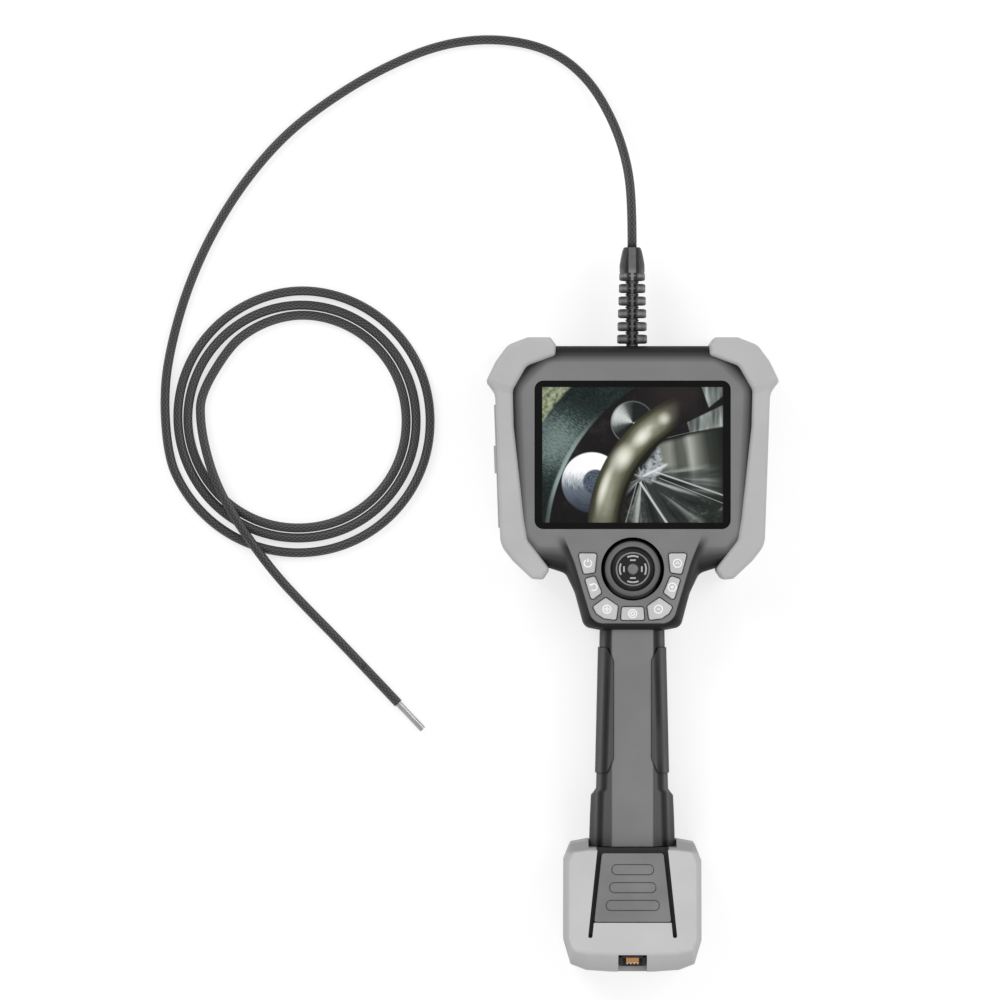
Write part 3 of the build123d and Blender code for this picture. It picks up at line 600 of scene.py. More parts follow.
# ---------------------------------------------------------------- finishes
FIELD_HALF = [(39.5, 69.0), (32.6, 51.4), (22.4, 17.6)]     # raised keypad field: top, knee and foot
FIELD_CORNER_R = 8.0
RELIEF_RINGS = [(177.8, 8.5), (184.9, 8.25), (192.2, 8.0), (199.3, 7.75), (206.4, 7.5)]
RELIEF_STEP = 7.15      # from one ring to the next
NOSE_Y = 209.9          # where the strain relief's nose starts
NOSE_LOBE_Y = 215.2     # and where its lowest lobe ends


def shaded(colour, share):
    """A colour made darker or lighter."""
    return [min(1.0, part * share) for part in colour]


def moulded(name, colour, roughness, grain=2600.0, depth=0.00002, variation=0.10, **extra):
    """Spark-eroded plastic: fine grain, cloudy colour and slightly uneven gloss."""
    finish = Finish(name, colour, roughness, **extra)
    darker, lighter = shaded(colour, 1 - variation), shaded(colour, 1 + variation)
    finish.set("Base Color", finish.clouds(38.0, darker, lighter, soft=0.22))
    finish.gloss(roughness - 0.05, 0.10, 90.0)
    finish.bump(finish.noise(grain, 3.0), depth)
    return finish


def metal(name, colour, roughness, grain=900.0):
    """Turned or drawn metal: fine lines across its length and faint stains."""
    finish = Finish(name, colour, roughness, 1.0)
    x, y, z = finish.axes()
    lines = finish.noise(grain, 2.0, finish.vector(x, y, z * 12.0))
    finish.set("Base Color", finish.clouds(120.0, colour, shaded(colour, 0.86), 0.55, 0.2, 3.0))
    finish.set("Roughness", roughness + 0.12 * lines)
    finish.bump(lines, 0.00001)
    return finish


def past_line(across, down, start, end):
    """Distance, in millimetres, outside a slanted line that leads inwards from start to end."""
    slope = (start[0] - end[0]) / (start[1] - end[1])
    return (across - start[0] - (down - start[1]) * slope) * math.cos(math.atan(slope))


def painted_keypad_shadow(across, down):
    """Painted shadow around the keypad field, round its lower corners, fading out at its top."""
    top, knee, foot = FIELD_HALF
    slope = (knee[0] - foot[0]) / (knee[1] - foot[1])
    bend_y = foot[1] + FIELD_CORNER_R
    bend_x = foot[0] + slope * FIELD_CORNER_R - FIELD_CORNER_R / math.cos(math.atan(slope))
    in_bend = across.above(bend_x, 0.01) * (down - bend_y + (across - bend_x) * slope).below(0.0, 0.01)
    bend = ((across - bend_x) ** 2 + (down - bend_y) ** 2) ** 0.5 - FIELD_CORNER_R
    sides = past_line(across, down, top, knee).least(past_line(across, down, knee, foot))
    outside = sides.most(foot[1] - down).most((bend + 50) * in_bend - 50)
    return outside.above(0.05, 0.15) * outside.below(3.6, 2.4) * down.below(64.0, 4.5)


def housing_finish():
    """Grey moulded shell with painted shade that darkens down its rolled edges, and a painted shadow around
    the raised keypad field.
    """
    finish = Finish("shell_grey", grey(0.2, 0), 0.46, Specular_IOR_Level=0.18)
    x, y, z = finish.axes()
    across, down = abs(x) * 1000, y * 1000
    face = finish.clouds(34.0, (0.188, 0.189, 0.191), (0.214, 0.215, 0.217))
    # painted shade: the lower the rolled edge falls, the darker it is painted
    rim = finish.ramp((z - 0.036) * 125, (0.25, grey(0.007)), (0.48, grey(0.018)), (0.64, grey(0.052, 0.002)),
                      (0.73, (0.115, 0.116, 0.118)), (0.80, grey(0.19, 0.002)))
    shell = finish.blend(z.above(0.0422, 0.0002), rim, face)
    # painted shadow around the keypad field, blacker towards its foot
    dark = finish.blend(down.above(21.0, 3.0), grey(0.008), grey(0.026))
    finish.set("Base Color", finish.blend(painted_keypad_shadow(across, down), shell, dark))
    finish.gloss(0.42, 0.10, 80.0)
    finish.bump(finish.noise(2400.0, 3.0), 0.00002)
    return finish


def rubber(name, colour, roughness, variation=0.10):
    """Soft-touch elastomer with a fine pebbled skin and dusty rubbed patches."""
    finish = Finish(name, colour, roughness)
    darker, lighter = shaded(colour, 1 - variation), shaded(colour, 1 + variation)
    finish.set("Base Color", finish.clouds(26.0, darker, lighter, 0.54, 0.16, 5.0))
    finish.gloss(roughness - 0.06, 0.14, 60.0)
    finish.bump(finish.cells(1500.0), 0.00003, 0.7)
    return finish


def relief_finish():
    """Black rubber with painted highlights on the lobes, the spine and the nose, mottled at random."""
    finish = Finish("relief_black", grey(0.03, 0), 0.42)
    x, y, _ = finish.axes()
    across, up = abs(x) * 1000, y * 1000
    half_step = RELIEF_STEP / 2
    step = (up - RELIEF_RINGS[0][0]).zigzag(half_step)
    lobe = step.below(1.1, 1.5) * across.above(2.9, 0.7)
    rungs = step.below(0.5, 0.4) + step.above(half_step - 0.5, 0.4)
    spine = across.below(0.8, 0.45) + rungs * across.below(1.9, 0.4) * 0.8
    nose = up.above(NOSE_Y, 0.2)
    panel = across.below(2.1, 0.35) + across.above(4.2, 1.0) * 0.55
    nose_light = panel * (0.62 + 0.5 * up.below(216.5, 2.5))
    low_lobe = up.below(NOSE_LOBE_Y, 0.25)
    nose_light = nose_light * (1 - low_lobe) + low_lobe * (lobe + spine)
    light = nose * nose_light + (1 - nose) * (lobe + spine * 0.9)
    # painted highlight, broken up by random mottle
    mottled_tone = light * (0.75 + 0.5 * finish.noise(300.0, 3.0))
    finish.set("Base Color", finish.ramp(mottled_tone, (0.0, grey(0.006, 0)), (0.35, grey(0.040)),
                                         (1.0, grey(0.205, 0.003))))
    finish.gloss(0.36, 0.14, 60.0)
    finish.bump(finish.cells(1500.0), 0.00003, 0.7)
    return finish


def pack_finish():
    """Pale battery shell with painted shade: slopes painted darker, and the latch bed and its grooves painted
    black as shadow.
    """
    finish = Finish("battery_grey", grey(0.5, 0), 0.5)
    x, y, z = finish.axes()
    light = finish.clouds(30.0, grey(0.520, 0.005), grey(0.560, 0.005))
    # painted shade: the lower side and the top slopes darker than the front face
    side = finish.blend(z.above(0.0400, 0.0050), grey(0.36, 0.005), grey(0.44, 0.005))
    slope = finish.blend(y.above(-0.1114, 0.0014), side, grey(0.29, 0.005))
    shell = finish.blend(z.above(0.0450, 0.0008), slope, light)
    # painted shadow: the latch bed and its grooves black
    bed = z.below(0.0449, 0.0004) * z.above(0.0205, 0.0004) * y.above(-0.1612, 0.0003)
    bed = bed * (abs(x) + y * 0.106).below(0.0088, 0.0002)
    finish.set("Base Color", finish.blend(bed, shell, grey(0.012)))
    finish.gloss(0.45, 0.10, 90.0)
    finish.bump(finish.noise(2600.0, 3.0), 0.00002)
    return finish


def woven_finish():
    """Tungsten braid over black: diamonds of crossing strands, four to a turn."""
    finish = Finish("woven_sheath", grey(0.02, 0), 0.55)
    across, along, _ = finish.axes(finish.add("UVMap", {"uv_map": "weave"}))
    first = (across * 8 + along * 5.0).zigzag(0.5)
    second = (across * 8 - along * 5.0).zigzag(0.5)
    over = (across * 4 + along * 5.0).zigzag(0.5).above(0.25, 0.03)
    crown = first * (1 - over) + second * over
    strand = crown.above(0.20, 0.16)
    light = finish.blend(finish.noise(5200.0, 2.0), grey(0.088, 0.002), grey(0.036))
    finish.set("Base Color", finish.blend(strand, grey(0.005), light))
    finish.set("Roughness", 0.62 - 0.20 * strand)
    finish.bump(crown, 0.00022, 0.9)
    return finish


def board_finish():
    """Green circuit board with tracks, pads and dark chips."""
    finish = Finish("circuit_board", (0.02, 0.12, 0.05), 0.4)
    track = finish.add("TexBrick", sockets={"Vector": finish.place(), "Scale": 160.0,
                                            "Mortar Size": 0.06, "Color1": (0.02, 0.13, 0.05),
                                            "Color2": (0.015, 0.10, 0.04), "Mortar": (0.10, 0.30, 0.12)})
    pad = finish.cells(420.0).below(0.22, 0.03)
    chip = finish.axes()[2].above(0.0298, 0.0001)
    base = finish.blend(pad, track, (0.75, 0.60, 0.25))
    finish.set("Base Color", finish.blend(chip, base, (0.02, 0.02, 0.022)))
    finish.bump(pad, 0.00005)
    return finish


SHELL = housing_finish()
SHELL_BACK = moulded("shell_back_grey", grey(0.045, 0.002), 0.5, Specular_IOR_Level=0.3)
BUMPER = rubber("bumper_grey", grey(0.455, 0.005), 0.55, 0.035)
PACK = pack_finish()
KEY = moulded("key_grey", grey(0.54, 0.005), 0.5, grain=3400.0, depth=0.00005, variation=0.06)
KEY_MARK = moulded("key_mark_white", grey(0.90, 0), 0.4, variation=0.03)
BLACK = moulded("inner_black", grey(0.012), 0.5)
SEAL = rubber("seal_black", grey(0.02, 0), 0.7)
RELIEF = relief_finish()
STEEL = metal("steel", (0.62, 0.63, 0.64), 0.22)
BRASS = metal("brass", (0.78, 0.57, 0.26), 0.28)
ALUMINIUM = metal("aluminium", (0.70, 0.71, 0.72), 0.35)
CONTACT_FINISH = metal("contact_copper", (0.85, 0.40, 0.16), 0.34)
CELL = moulded("cell_wrap_blue", (0.03, 0.10, 0.30), 0.3)
BOARD = board_finish()
WOVEN = woven_finish()


# ---------------------------------------------------------------- head
HEAD_HALF = [(54, 173.8), (72.5, 157), (70, 64.5), (57, 50), (46.8, 48.6), (37.6, 45.6),
             (32.3, 34.6), (27.2, 15.4), (16.7, 13.4)]
HEAD_RADII = [8, 8, 8, 5, 4, 6, 25, 5, 5]
FACE_HALF = [(45.5, 162.3), (59.6, 147.3), (56.2, 69.0), (51.5, 63.5), (45.5, 64.0), (38.8, 65.5),
             (28.2, 36), (21.8, 20.0), (15.0, 17.9)]
FACE_RADII = [9, 9, 9, 5, 4, 3, 25, 5, 5]
BACK_Z = 1.5
SPLIT_Z = 24.0
ROLL_LOW = 34.0         # where the roll-off starts on the side wall
FACE_Z = 42.4
FRONT_Z = 43.0          # top of the raised keypad field
FIELD_FADE = (54, 15)   # where the field starts to sink into the face, and over what length
WALL_TOP = 40.2         # inside of the front wall
HEAD_BOSSES = [(40, 165.5), (63.5, 143), (56, 58)]
SCREW_R = 1.55
SCREW_HEAD_R = 2.7
SCREEN_Y = 112.4
GLASS = (110.0, 83.2)
STICK_Y = 48.2
PIVOT_Z = 31.5
STICK_HOLE_R = 17.8
FACE_CUT = (39, 50)     # heights of the openings cut through the front wall
GLAND_BORES = [(166, 6.02, 10), (160, 8.55, 10.8)]      # start along Y, radius and length
PORT_OPENING = ((-80, -60), (82, 130), (14, 32))
WIRE_OPENING = ((-8, 8), (0, 20), (13, 30))
LEFT_KEYS = {"key_power": [(-30.6, 57.0), (-20.2, 56.9), (-21.3, 46.2), (-27.5, 45.4)],
             "key_back": [(-26.8, 42.6), (-21.3, 44.2), (-17.4, 34.9), (-23.1, 30.6)],
             "key_light": [(-15.1, 32.1), (-8.2, 27.3), (-9.3, 19.5), (-16.2, 20.4), (-20.3, 23.1),
                           (-22.4, 26.9)]}
MIDDLE_KEY = [(-6.0, 26.8), (6.0, 26.8), (6.6, 19.5), (-6.6, 19.5)]
RIGHT_NAMES = {"key_power": "key_menu", "key_back": "key_zoom", "key_light": "key_mode"}
KEY_TOP_Z = 44.2


def key_outlines():
    """Outline of every key. The right-hand keys mirror the left-hand ones."""
    outlines = dict(LEFT_KEYS)
    outlines["key_record"] = MIDDLE_KEY
    for left, right in RIGHT_NAMES.items():
        outlines[right] = [(-x, y) for x, y in reversed(LEFT_KEYS[left])]
    return outlines


def head_loops(steps):
    """Loops from the side wall to the flat face: (share of the way in, height)."""
    outer = corner_loop(mirrored(HEAD_HALF), both_ends(HEAD_RADII), 0)
    face = corner_loop(mirrored(FACE_HALF), both_ends(FACE_RADII), 0)
    return [[(*(a.lerp(b, share)), height) for a, b in zip(outer, face)] for share, height in steps]


def rolled_edge():
    """Quarter round from the side wall in to the face."""
    turns = [math.radians(10 * k) for k in range(10)]
    return [(1 - math.cos(a), ROLL_LOW + (FACE_Z - ROLL_LOW) * math.sin(a)) for a in turns]


def head_solid(name="head_solid", low=BACK_Z):
    return skin(name, head_loops([(0, low)] + rolled_edge()))


def keypad_field():
    """Raised field around the joystick and keys, which fades into the face above it."""
    field = slab("field", mirrored(FIELD_HALF), both_ends([0.5, 6, FIELD_CORNER_R]),
                 rounded(38.0, FRONT_Z, SHARP, (0.7, 0.8)), 12)
    start, length = FIELD_FADE

    def drop(place):
        fade = within((place.y / MM - start) / length)
        return (FRONT_Z - FACE_Z + 0.25) * fade * fade * (3 - 2 * fade)

    return sink(field, [(0, y, 0) for y in (66, 62, 58, 54)], (0, 1, 0), 40, drop)


def both_sides(points):
    """Places on the right and their mirror places on the left."""
    return [(side * x, y) for x, y in points for side in (1, -1)]


def add_front_housing():
    shell = head_solid("front_shell", SPLIT_Z)
    carve(shell, [keypad_field()], "UNION")
    room = skin("room", head_loops([(0.36, SPLIT_Z - 1), (0.36, ROLL_LOW), (0.6, WALL_TOP)]))
    bosses = both_sides(HEAD_BOSSES)
    carve(room, [upright(x, y, SPLIT_Z - 2, WALL_TOP + 1, 4.0) for x, y in bosses])
    cutters = [room]
    cutters += [upright(x, y, SPLIT_Z - 1, SPLIT_Z + 10, SCREW_R) for x, y in bosses]
    cutters.append(cutter(rectangle(GLASS[0] + 0.4, GLASS[1] + 0.4, (0, SCREEN_Y)), 5.0, *FACE_CUT))
    cutters.append(upright(0, STICK_Y, *FACE_CUT, STICK_HOLE_R, 128))
    cutters += [cutter(corners, 1.2, *FACE_CUT, 0.6) for corners in key_outlines().values()]
    cutters += [lying((0, y, SPLIT_Z), radius, length) for y, radius, length in GLAND_BORES]
    cutters += [cube_cutter(*PORT_OPENING), cube_cutter(*WIRE_OPENING)]
    carve(shell, cutters)
    smooth(soft_edges(shell, 0.28, 50))
    finish_piece(shell, "housing", "shell", SHELL, "front_housing")


def add_back_ribs():
    """Low moulded ribs across the back, for the fingers that carry the head."""
    ribs = []
    for index in range(7):
        width = 62.0 + 4.0 * index
        ribs.append(slab("rib", rectangle(width, 3.0, (0, 76.0 + 9.0 * index)), [1.45] * 4,
                         rounded(0.7, 2.0, (0.8, 0.6), SHARP)))
    finish_piece(smooth(join("back_ribs", ribs)), "housing", "shell", SHELL_BACK)


BUMPER_HALF = [(43.1, 174.2), (46.2, 178.6), (59.1, 178.6), (70.3, 174.2), (77.1, 164.9),
               (82.5, 153.7), (77.4, 147.0), (74.4, 61.6), (67.4, 52.7), (56.7, 42.6), (50.4, 42.1),
               (46.5, 47.9), (59.1, 64.4), (61.1, 76.1), (66.9, 128.5), (67.4, 148.9),
               (59.6, 162.5), (43.6, 168.4)]
BUMPER_RADII = [1.5, 2, 5, 8, 10, 2.5, 9, 14, 12, 3, 2.5, 3, 6, 20, 20, 6, 6, 2]
BUMPER_STEP_X = 75.0
BUMPER_STEP = (153.2, 151.0, 148.4)     # places along Y of the step from the corner to the side
STEP_DROP = 1.7
STEP_LENGTH = 4.6
COVER_Y = (71.4, 140.6)
COVER_Z = (8.4, 37.6)
COVER_GAP = 0.4


def side_x(y):
    """Outside of the bumpers' straight side at a place along it."""
    return 74.4 + 3.0 * (y - 61.6) / 85.4


def side_cutter(y_limits, z_limits, depth):
    corners = [(-side_x(y) + shift, y) for y, shift in
               ((y_limits[0], -8), (y_limits[1], -8), (y_limits[1], depth), (y_limits[0], depth))]
    return cutter(corners, 0.6, *z_limits)


def add_bumper(side, name):
    """Corner and side guard: a thick upper corner that steps down to a thinner side."""
    corners = [(side * x, y) for x, y in BUMPER_HALF]
    guard = slab(name, corners, BUMPER_RADII, rounded(0, 46.0, (2.0, 2.0), (2.6, 3.0)))
    across = Vector((side * -4.8, 15.1, 0)).normalized()
    lines = [(side * BUMPER_STEP_X, y, 0) for y in BUMPER_STEP]

    def drop(place):
        return STEP_DROP * within((mm(*lines[0]) - place).dot(across) / MM / STEP_LENGTH)

    sink(guard, lines, across, 25, drop)
    cutters = [head_solid()]
    if side < 0:
        seat = [(low - COVER_GAP, high + COVER_GAP) for low, high in (COVER_Y, COVER_Z)]
        cutters += [side_cutter(*seat, 2.0), side_cutter((77, 135), (12.6, 34.6), 12)]
    carve(guard, cutters)
    smooth(guard, 38)
    finish_piece(guard, "housing", "bumper", BUMPER, name)


# ---------------------------------------------------------------- marks drawn with fine raised lines
def arc(radius, start, end, step=10):
    """Points of an arc between two angles in degrees."""
    count = max(2, round(abs(end - start) / step))
    turns = [math.radians(start + (end - start) * k / count) for k in range(count + 1)]
    return [(radius * math.cos(a), radius * math.sin(a)) for a in turns]


def raised_lines(name, strokes, centre, height, thickness, flatten):
    """Rounded lines that stand a little proud of a flat face."""
    curve = bpy.data.curves.new(name, "CURVE")
    curve.dimensions = "3D"
    curve.bevel_depth = thickness / 2 * MM
    curve.bevel_resolution = 3
    curve.use_fill_caps = True
    for stroke in strokes:
        closed = math.dist(stroke[0], stroke[-1]) < 0.001
        points = stroke[:-1] if closed else stroke
        spline = curve.splines.new("POLY")
        spline.points.add(len(points) - 1)
        for point, (x, y) in zip(spline.points, points):
            point.co = (*mm(centre[0] + x, centre[1] + y, 0), 1.0)
        spline.use_cyclic_u = closed
    line = new_piece(name, curve)
    mesh = final_mesh(line)
    bpy.data.objects.remove(line)
    for vertex in mesh.vertices:
        vertex.co.z = vertex.co.z * flatten + height * MM
    mesh.polygons.foreach_set("use_smooth", [True] * len(mesh.polygons))
    return new_piece(name, mesh)


# ---------------------------------------------------------------- keys
RING = arc(2.25, 0, 360)
KEY_MARKS = {
    "key_power": ((-25.2, 51.4), [arc(2.1, 125, 415), [(0, 2.6), (0, 0.5)]]),
    "key_back": ((-21.9, 38.0), [arc(1.9, -130, 150), [(-2.4, 1.9), (-1.6, 0.8), (-0.5, 1.5)]]),
    "key_light": ((-14.5, 25.6), [RING, arc(0.7, 0, 360), [(0, 1.1), (0, 1.6)], [(0, -1.1), (0, -1.6)],
                                  [(1.1, 0), (1.6, 0)], [(-1.1, 0), (-1.6, 0)]]),
    "key_record": ((0, 23.1), [RING, arc(1.0, 0, 360)]),
    "key_mode": ((14.5, 25.6), [RING, [(-0.9, 0), (0.9, 0)]]),
    "key_zoom": ((22.2, 38.0), [RING, arc(0.55, 0, 360)]),
    "key_menu": ((25.2, 51.4), [RING, [(-1.0, -0.6), (0, 0.9), (1.0, -0.6)]]),
}


def add_keys():
    """Keys that stand in their holes on a neck, each with its sign."""
    profile = [(0, 35.9), (0, 38.5), (-0.7, 38.5), (-0.7, 40.1), (0, 40.1)]
    profile += rounded_top(KEY_TOP_Z, (0.7, 0.6))
    for name, corners in key_outlines().items():
        body = name + "_button"
        cap = smooth(slab(name + "_cap", corners, [1.2] * len(corners), profile))
        finish_piece(cap, body, "keys", KEY, name)
        centre, strokes = KEY_MARKS[name]
        mark = raised_lines(name + "_mark", strokes, centre, KEY_TOP_Z, 0.80, 0.25)
        finish_piece(mark, body, "keys", KEY_MARK)


# ---------------------------------------------------------------- joystick
SKIRT_R = 18.4
SKIRT_WALL = 1.5
SKIRT_BORE_R = 3.95
RING_DARK_R = 12.6      # inside this radius the skirt steps down to the cap's dark collar
CAP_PROFILE = [(0, 51.0), (4.02, 51.0), (4.02, 49.6), (7.96, 48.25), (9.3, 48.25), (9.6, 48.6),
               (9.6, 52.4), (9.45, 52.8), (9.15, 53.0), (8.85, 52.85), (8.7, 52.3), (8.5, 52.15),
               (3.9, 52.15), (3.45, 52.35), (3.3, 52.9), (2.9, 53.5), (2.1, 53.95), (1.1, 54.15),
               (0, 54.2)]
CAP_DISH_Z = 52.15      # floor of the dish in the cap, where its marks stand


def stick_distance(finish):
    """Distance from the joystick's axis and place along Y from it, in millimetres."""
    x, y, _ = finish.axes()
    x, y = x * 1000, y * 1000 - STICK_Y
    return (x * x + y * y) ** 0.5, y


def skirt_finish():
    """Satin rubber in rings: a painted black shadow under the rim with painted light on its lower side, grey
    on the shoulder, black around the cap.
    """
    finish = Finish("stick_rings", grey(0.05, 0), 0.4, Specular_IOR_Level=0.3)
    away, up = stick_distance(finish)
    shoulder = away.above(12.5, 0.25) * away.below(15.5, 0.4)
    # painted light: the outer band is painted paler on its lower side
    painted_light_low_side = (up / away).below(-0.70, 0.22) * away.above(15.9, 0.2) * away.below(17.6, 0.3)
    mottled_tone = finish.blend(finish.noise(60.0, 3.0), grey(0.190, 0.003), grey(0.155, 0.002))
    # painted shadow: black outer band under the rim, with the painted light on its lower side
    rim = finish.blend(painted_light_low_side, grey(0.010), grey(0.20, 0.003))
    finish.set("Base Color", finish.blend(shoulder, rim, mottled_tone))
    finish.gloss(0.36, 0.12, 200.0, 2.0)
    finish.bump(finish.cells(1800.0), 0.00002, 0.6)
    return finish


def cap_finish():
    """Dark moulded cap with a paler turned rim."""
    finish = Finish("stick_cap", grey(0.02, 0), 0.32, Specular_IOR_Level=0.3)
    away, _ = stick_distance(finish)
    rim = away.above(8.75, 0.12) + away.below(2.9, 0.5) * 0.75
    pale = finish.blend(finish.noise(300.0, 3.0), grey(0.26, 0.005), grey(0.20, 0.005))
    finish.set("Base Color", finish.blend(rim, grey(0.013), pale))
    finish.gloss(0.24, 0.14, 150.0)
    finish.bump(finish.noise(2200.0, 2.0), 0.000012)
    return finish


def add_joystick():
    """Ball-shaped skirt, dished cap and the four marks in the dish."""
    outer, inner = [], []
    for angle in range(80, 11, -1):
        across, up = math.sin(math.radians(angle)), math.cos(math.radians(angle))
        radius = SKIRT_R - (1.0 if SKIRT_R * across < RING_DARK_R else 0.0)
        outer.append((radius * across, PIVOT_Z + radius * up))
        radius = SKIRT_R - SKIRT_WALL
        inner.append((radius * across, PIVOT_Z + radius * up))
    bore = [(SKIRT_BORE_R, outer[-1][1]), (SKIRT_BORE_R, inner[-1][1])]
    profile = outer + bore + inner[::-1] + [outer[0]]
    skirt = smooth(lathe("joystick_rings", profile, (0, STICK_Y), hollow=True), 40)
    finish_piece(skirt, "stick", "skirt", skirt_finish(), "joystick_skirt")
    cap = smooth(lathe("joystick_top", CAP_PROFILE, (0, STICK_Y)), 40)
    finish_piece(cap, "stick", "stick", cap_finish(), "joystick_cap")
    strokes = []
    for middle in (0, 90, 180, 270):
        turn = math.radians(middle)
        outwards = Vector((math.cos(turn), math.sin(turn)))
        across = Vector((-outwards.y, outwards.x)) * 1.6
        place = outwards * 5.0
        strokes += [arc(7.4, middle - 25, middle + 25, step=5),
                    [tuple(place - across), tuple(place + across)]]
    marks = raised_lines("joystick_marks", strokes, (0, STICK_Y), CAP_DISH_Z, 1.0, 0.5)
    finish_piece(marks, "stick", "stick", moulded("stick_mark_grey", grey(0.47, 0.005), 0.35))


# ---------------------------------------------------------------- handle and grips
HANDLE_STATIONS = [(24, 18.2), (13.9, 18.2), (0, 18.5), (-30, 19.2), (-60, 19.9), (-75.8, 20.3),
                   (-92, 20.7), (-108.1, 21.1)]
COLLAR_STATIONS = [(-75.8, 20.3), (-77.8, 21.6), (-79.7, 23.2), (-92, 23.8), (-108.1, 24.3)]
GRIP_HALF = [(10.8, -3.3), (14.5, 3.8), (40, 3.8), (40, -66.8), (14.5, -66.8), (10.8, -58.4)]
HANDLE_SPLIT_Z = 21.0


def bar_section(half, y, grow, front=38.0, front_half=11.5):
    """Six-sided section of the handle with soft corners."""
    wide = half + grow
    top = (front_half + 0.46 * grow, front + grow)
    ridge = (28.0 + 1.4 * grow, 18.0)
    foot = (13.0 + 0.4 * grow, 4.0 - grow)
    upper = top[1] - (top[1] - ridge[1]) * (wide - top[0]) / (ridge[0] - top[0])
    lower = foot[1] + (ridge[1] - foot[1]) * (wide - foot[0]) / (ridge[0] - foot[0])
    corners = mirrored([top, (wide, upper), (wide, lower), foot])
    return [(x, y, z) for x, z in corner_loop(corners, both_ends([3.0, 2.2, 3.0, 3.0]), 0)]


def handle_solid(grow=0.0, low_y=-108.1):
    loops = [bar_section(half, max(y, low_y), grow) for y, half in HANDLE_STATIONS]
    return skin("handle", loops)


def collar_solid(grow=0.0):
    """Wider foot of the handle, lower at the front, that guides the battery."""
    loops = [bar_section(half, y, grow, 29.0, 15.5) for y, half in COLLAR_STATIONS]
    return skin("collar", loops)


def grip_solid(side, outside, inside, gap=0.0):
    body = handle_solid(outside)
    corners = [(side * x, y) for x, y in GRIP_HALF]
    region = cutter(corners, 1.5, -10, 60, gap)
    carve(body, [region], "INTERSECT")
    return carve(body, [handle_solid(-inside)])


def flank_tone(finish, x, y):
    """Charcoal with a painted shadow, darkest in a band beside the flat front and paler on the outer side."""
    across = abs(x) * 40 + y * 1.12 - y.below(-0.077, 0.0015) * 0.064
    return finish.ramp(across, (0.464, grey(0.080, 0.002)), (0.505, grey(0.022)),
                       (0.550, grey(0.004)), (0.60, grey(0.022)),
                       (0.66, grey(0.105, 0.002)), (0.74, grey(0.080, 0.002)))


def handle_finish():
    """Grey flat front with charcoal flanks that carry a painted shadow."""
    finish = Finish("handle_grey", grey(0.2, 0), 0.45, Specular_IOR_Level=0.18)
    x, y, z = finish.axes()
    # grey where the surface faces up; elsewhere the charcoal tone with its painted shadow
    front = finish.slope().above(0.86, 0.10) * z.above(0.030, 0.002)
    face = finish.clouds(30.0, (0.190, 0.191, 0.193), (0.214, 0.215, 0.217))
    finish.set("Base Color", finish.blend(front, flank_tone(finish, x, y), face))
    finish.gloss(0.42, 0.10, 80.0)
    finish.bump(finish.noise(2400.0, 3.0), 0.00002)
    return finish


def grip_finish():
    """Charcoal rubber with a painted shadow, darkest along the band where the fingers close."""
    finish = Finish("grip_charcoal", grey(0.05, 0), 0.5, Specular_IOR_Level=0.18)
    x, y, _ = finish.axes()
    rub = finish.noise(26.0, 5.0).above(0.56, 0.12)
    finish.set("Base Color", finish.blend(rub * 0.35, flank_tone(finish, x, y), grey(0.060, 0.002)))
    finish.gloss(0.46, 0.14, 60.0)
    finish.bump(finish.cells(1300.0), 0.00004, 0.8)
    return finish


def add_handle():
    whole = handle_solid()
    carve(whole, [collar_solid()], "UNION")
    cutters = [grip_solid(side, 2.0, 1.8, 0.3) for side in (-1, 1)]
    hollow = handle_solid(-4.3, -104.0)
    carve(whole, cutters + [hollow, head_solid()])
    finish = handle_finish()
    for name, z in (("handle_front", (HANDLE_SPLIT_Z, 60)), ("handle_rear", (-5, HANDLE_SPLIT_Z))):
        half = slice_of(whole, name + "_shell", z)
        finish_piece(smooth(half, 28), "housing", "shell", finish, name)
    bpy.data.objects.remove(whole)
    rubber_grip = grip_finish()
    for side, name in ((-1, "grip_left"), (1, "grip_right")):
        grip = soft_edges(grip_solid(side, 0.8, 1.75), 0.5)
        finish_piece(smooth(grip, 35), "housing", "grip", rubber_grip, name)


# ---------------------------------------------------------------- battery
PACK_HALF = [(25.4, -104.6), (34.9, -106.4), (38.8, -116.0), (38.9, -160.8), (34.9, -174.3),
             (26.2, -177.6), (12, -178.6)]
PACK_RADII = [1, 1.5, 2, 2.5, 1.5, 3, 8]
PACK_FACE = [(24.6, -110.9), (32.9, -112.0), (35.2, -117), (35.3, -159.5), (33.2, -165.3),
             (25.5, -166.4), (12, -166.8)]
PACK_FACE_RADII = [2, 2, 3, 4, 2.5, 4, 8]
PACK_TOP_Z = 46.0
PACK_SPLIT_Z = 23.0
PACK_SEAT_Y = -108.6
PACK_BOSSES = [(31.5, -121), (31.5, -163)]
GROOVE = [(18.5, -108.2), (23.9, -159.2)]
RECESS_HALF = [(18.5, -108.3), (22.8, -150.7)]
PANEL_HALF = [(17.3, -111.7), (21.6, -150.2)]
PANEL_TOP_Z = 46.2
RIBS = [(-120.8, 24.2), (-130.9, 26.7), (-140.9, 30.5)]
RIB_HEIGHT = 6.3
PAD_GAP = 0.55          # between a finger pad and the edge of its bed
NOTCH = (16.1, -168.9, 33.0)


def pack_loops():
    outline, radii = mirrored(PACK_HALF), both_ends(PACK_RADII)
    outer = corner_loop(outline, radii, 0)
    face = corner_loop(mirrored(PACK_FACE), both_ends(PACK_FACE_RADII), 0)
    loops = [[(*point, z) for point in corner_loop(outline, radii, inset)]
             for inset, z in ((3.4, 0.0), (1.6, 0.9), (0.5, 2.2), (0.0, 4.0))]
    for share, z in ((0.0, 37.6), (0.06, 38.9), (0.5, 42.6), (0.93, 45.7), (1.0, PACK_TOP_Z)):
        loops.append([(*a.lerp(b, share), z) for a, b in zip(outer, face)])
    return loops


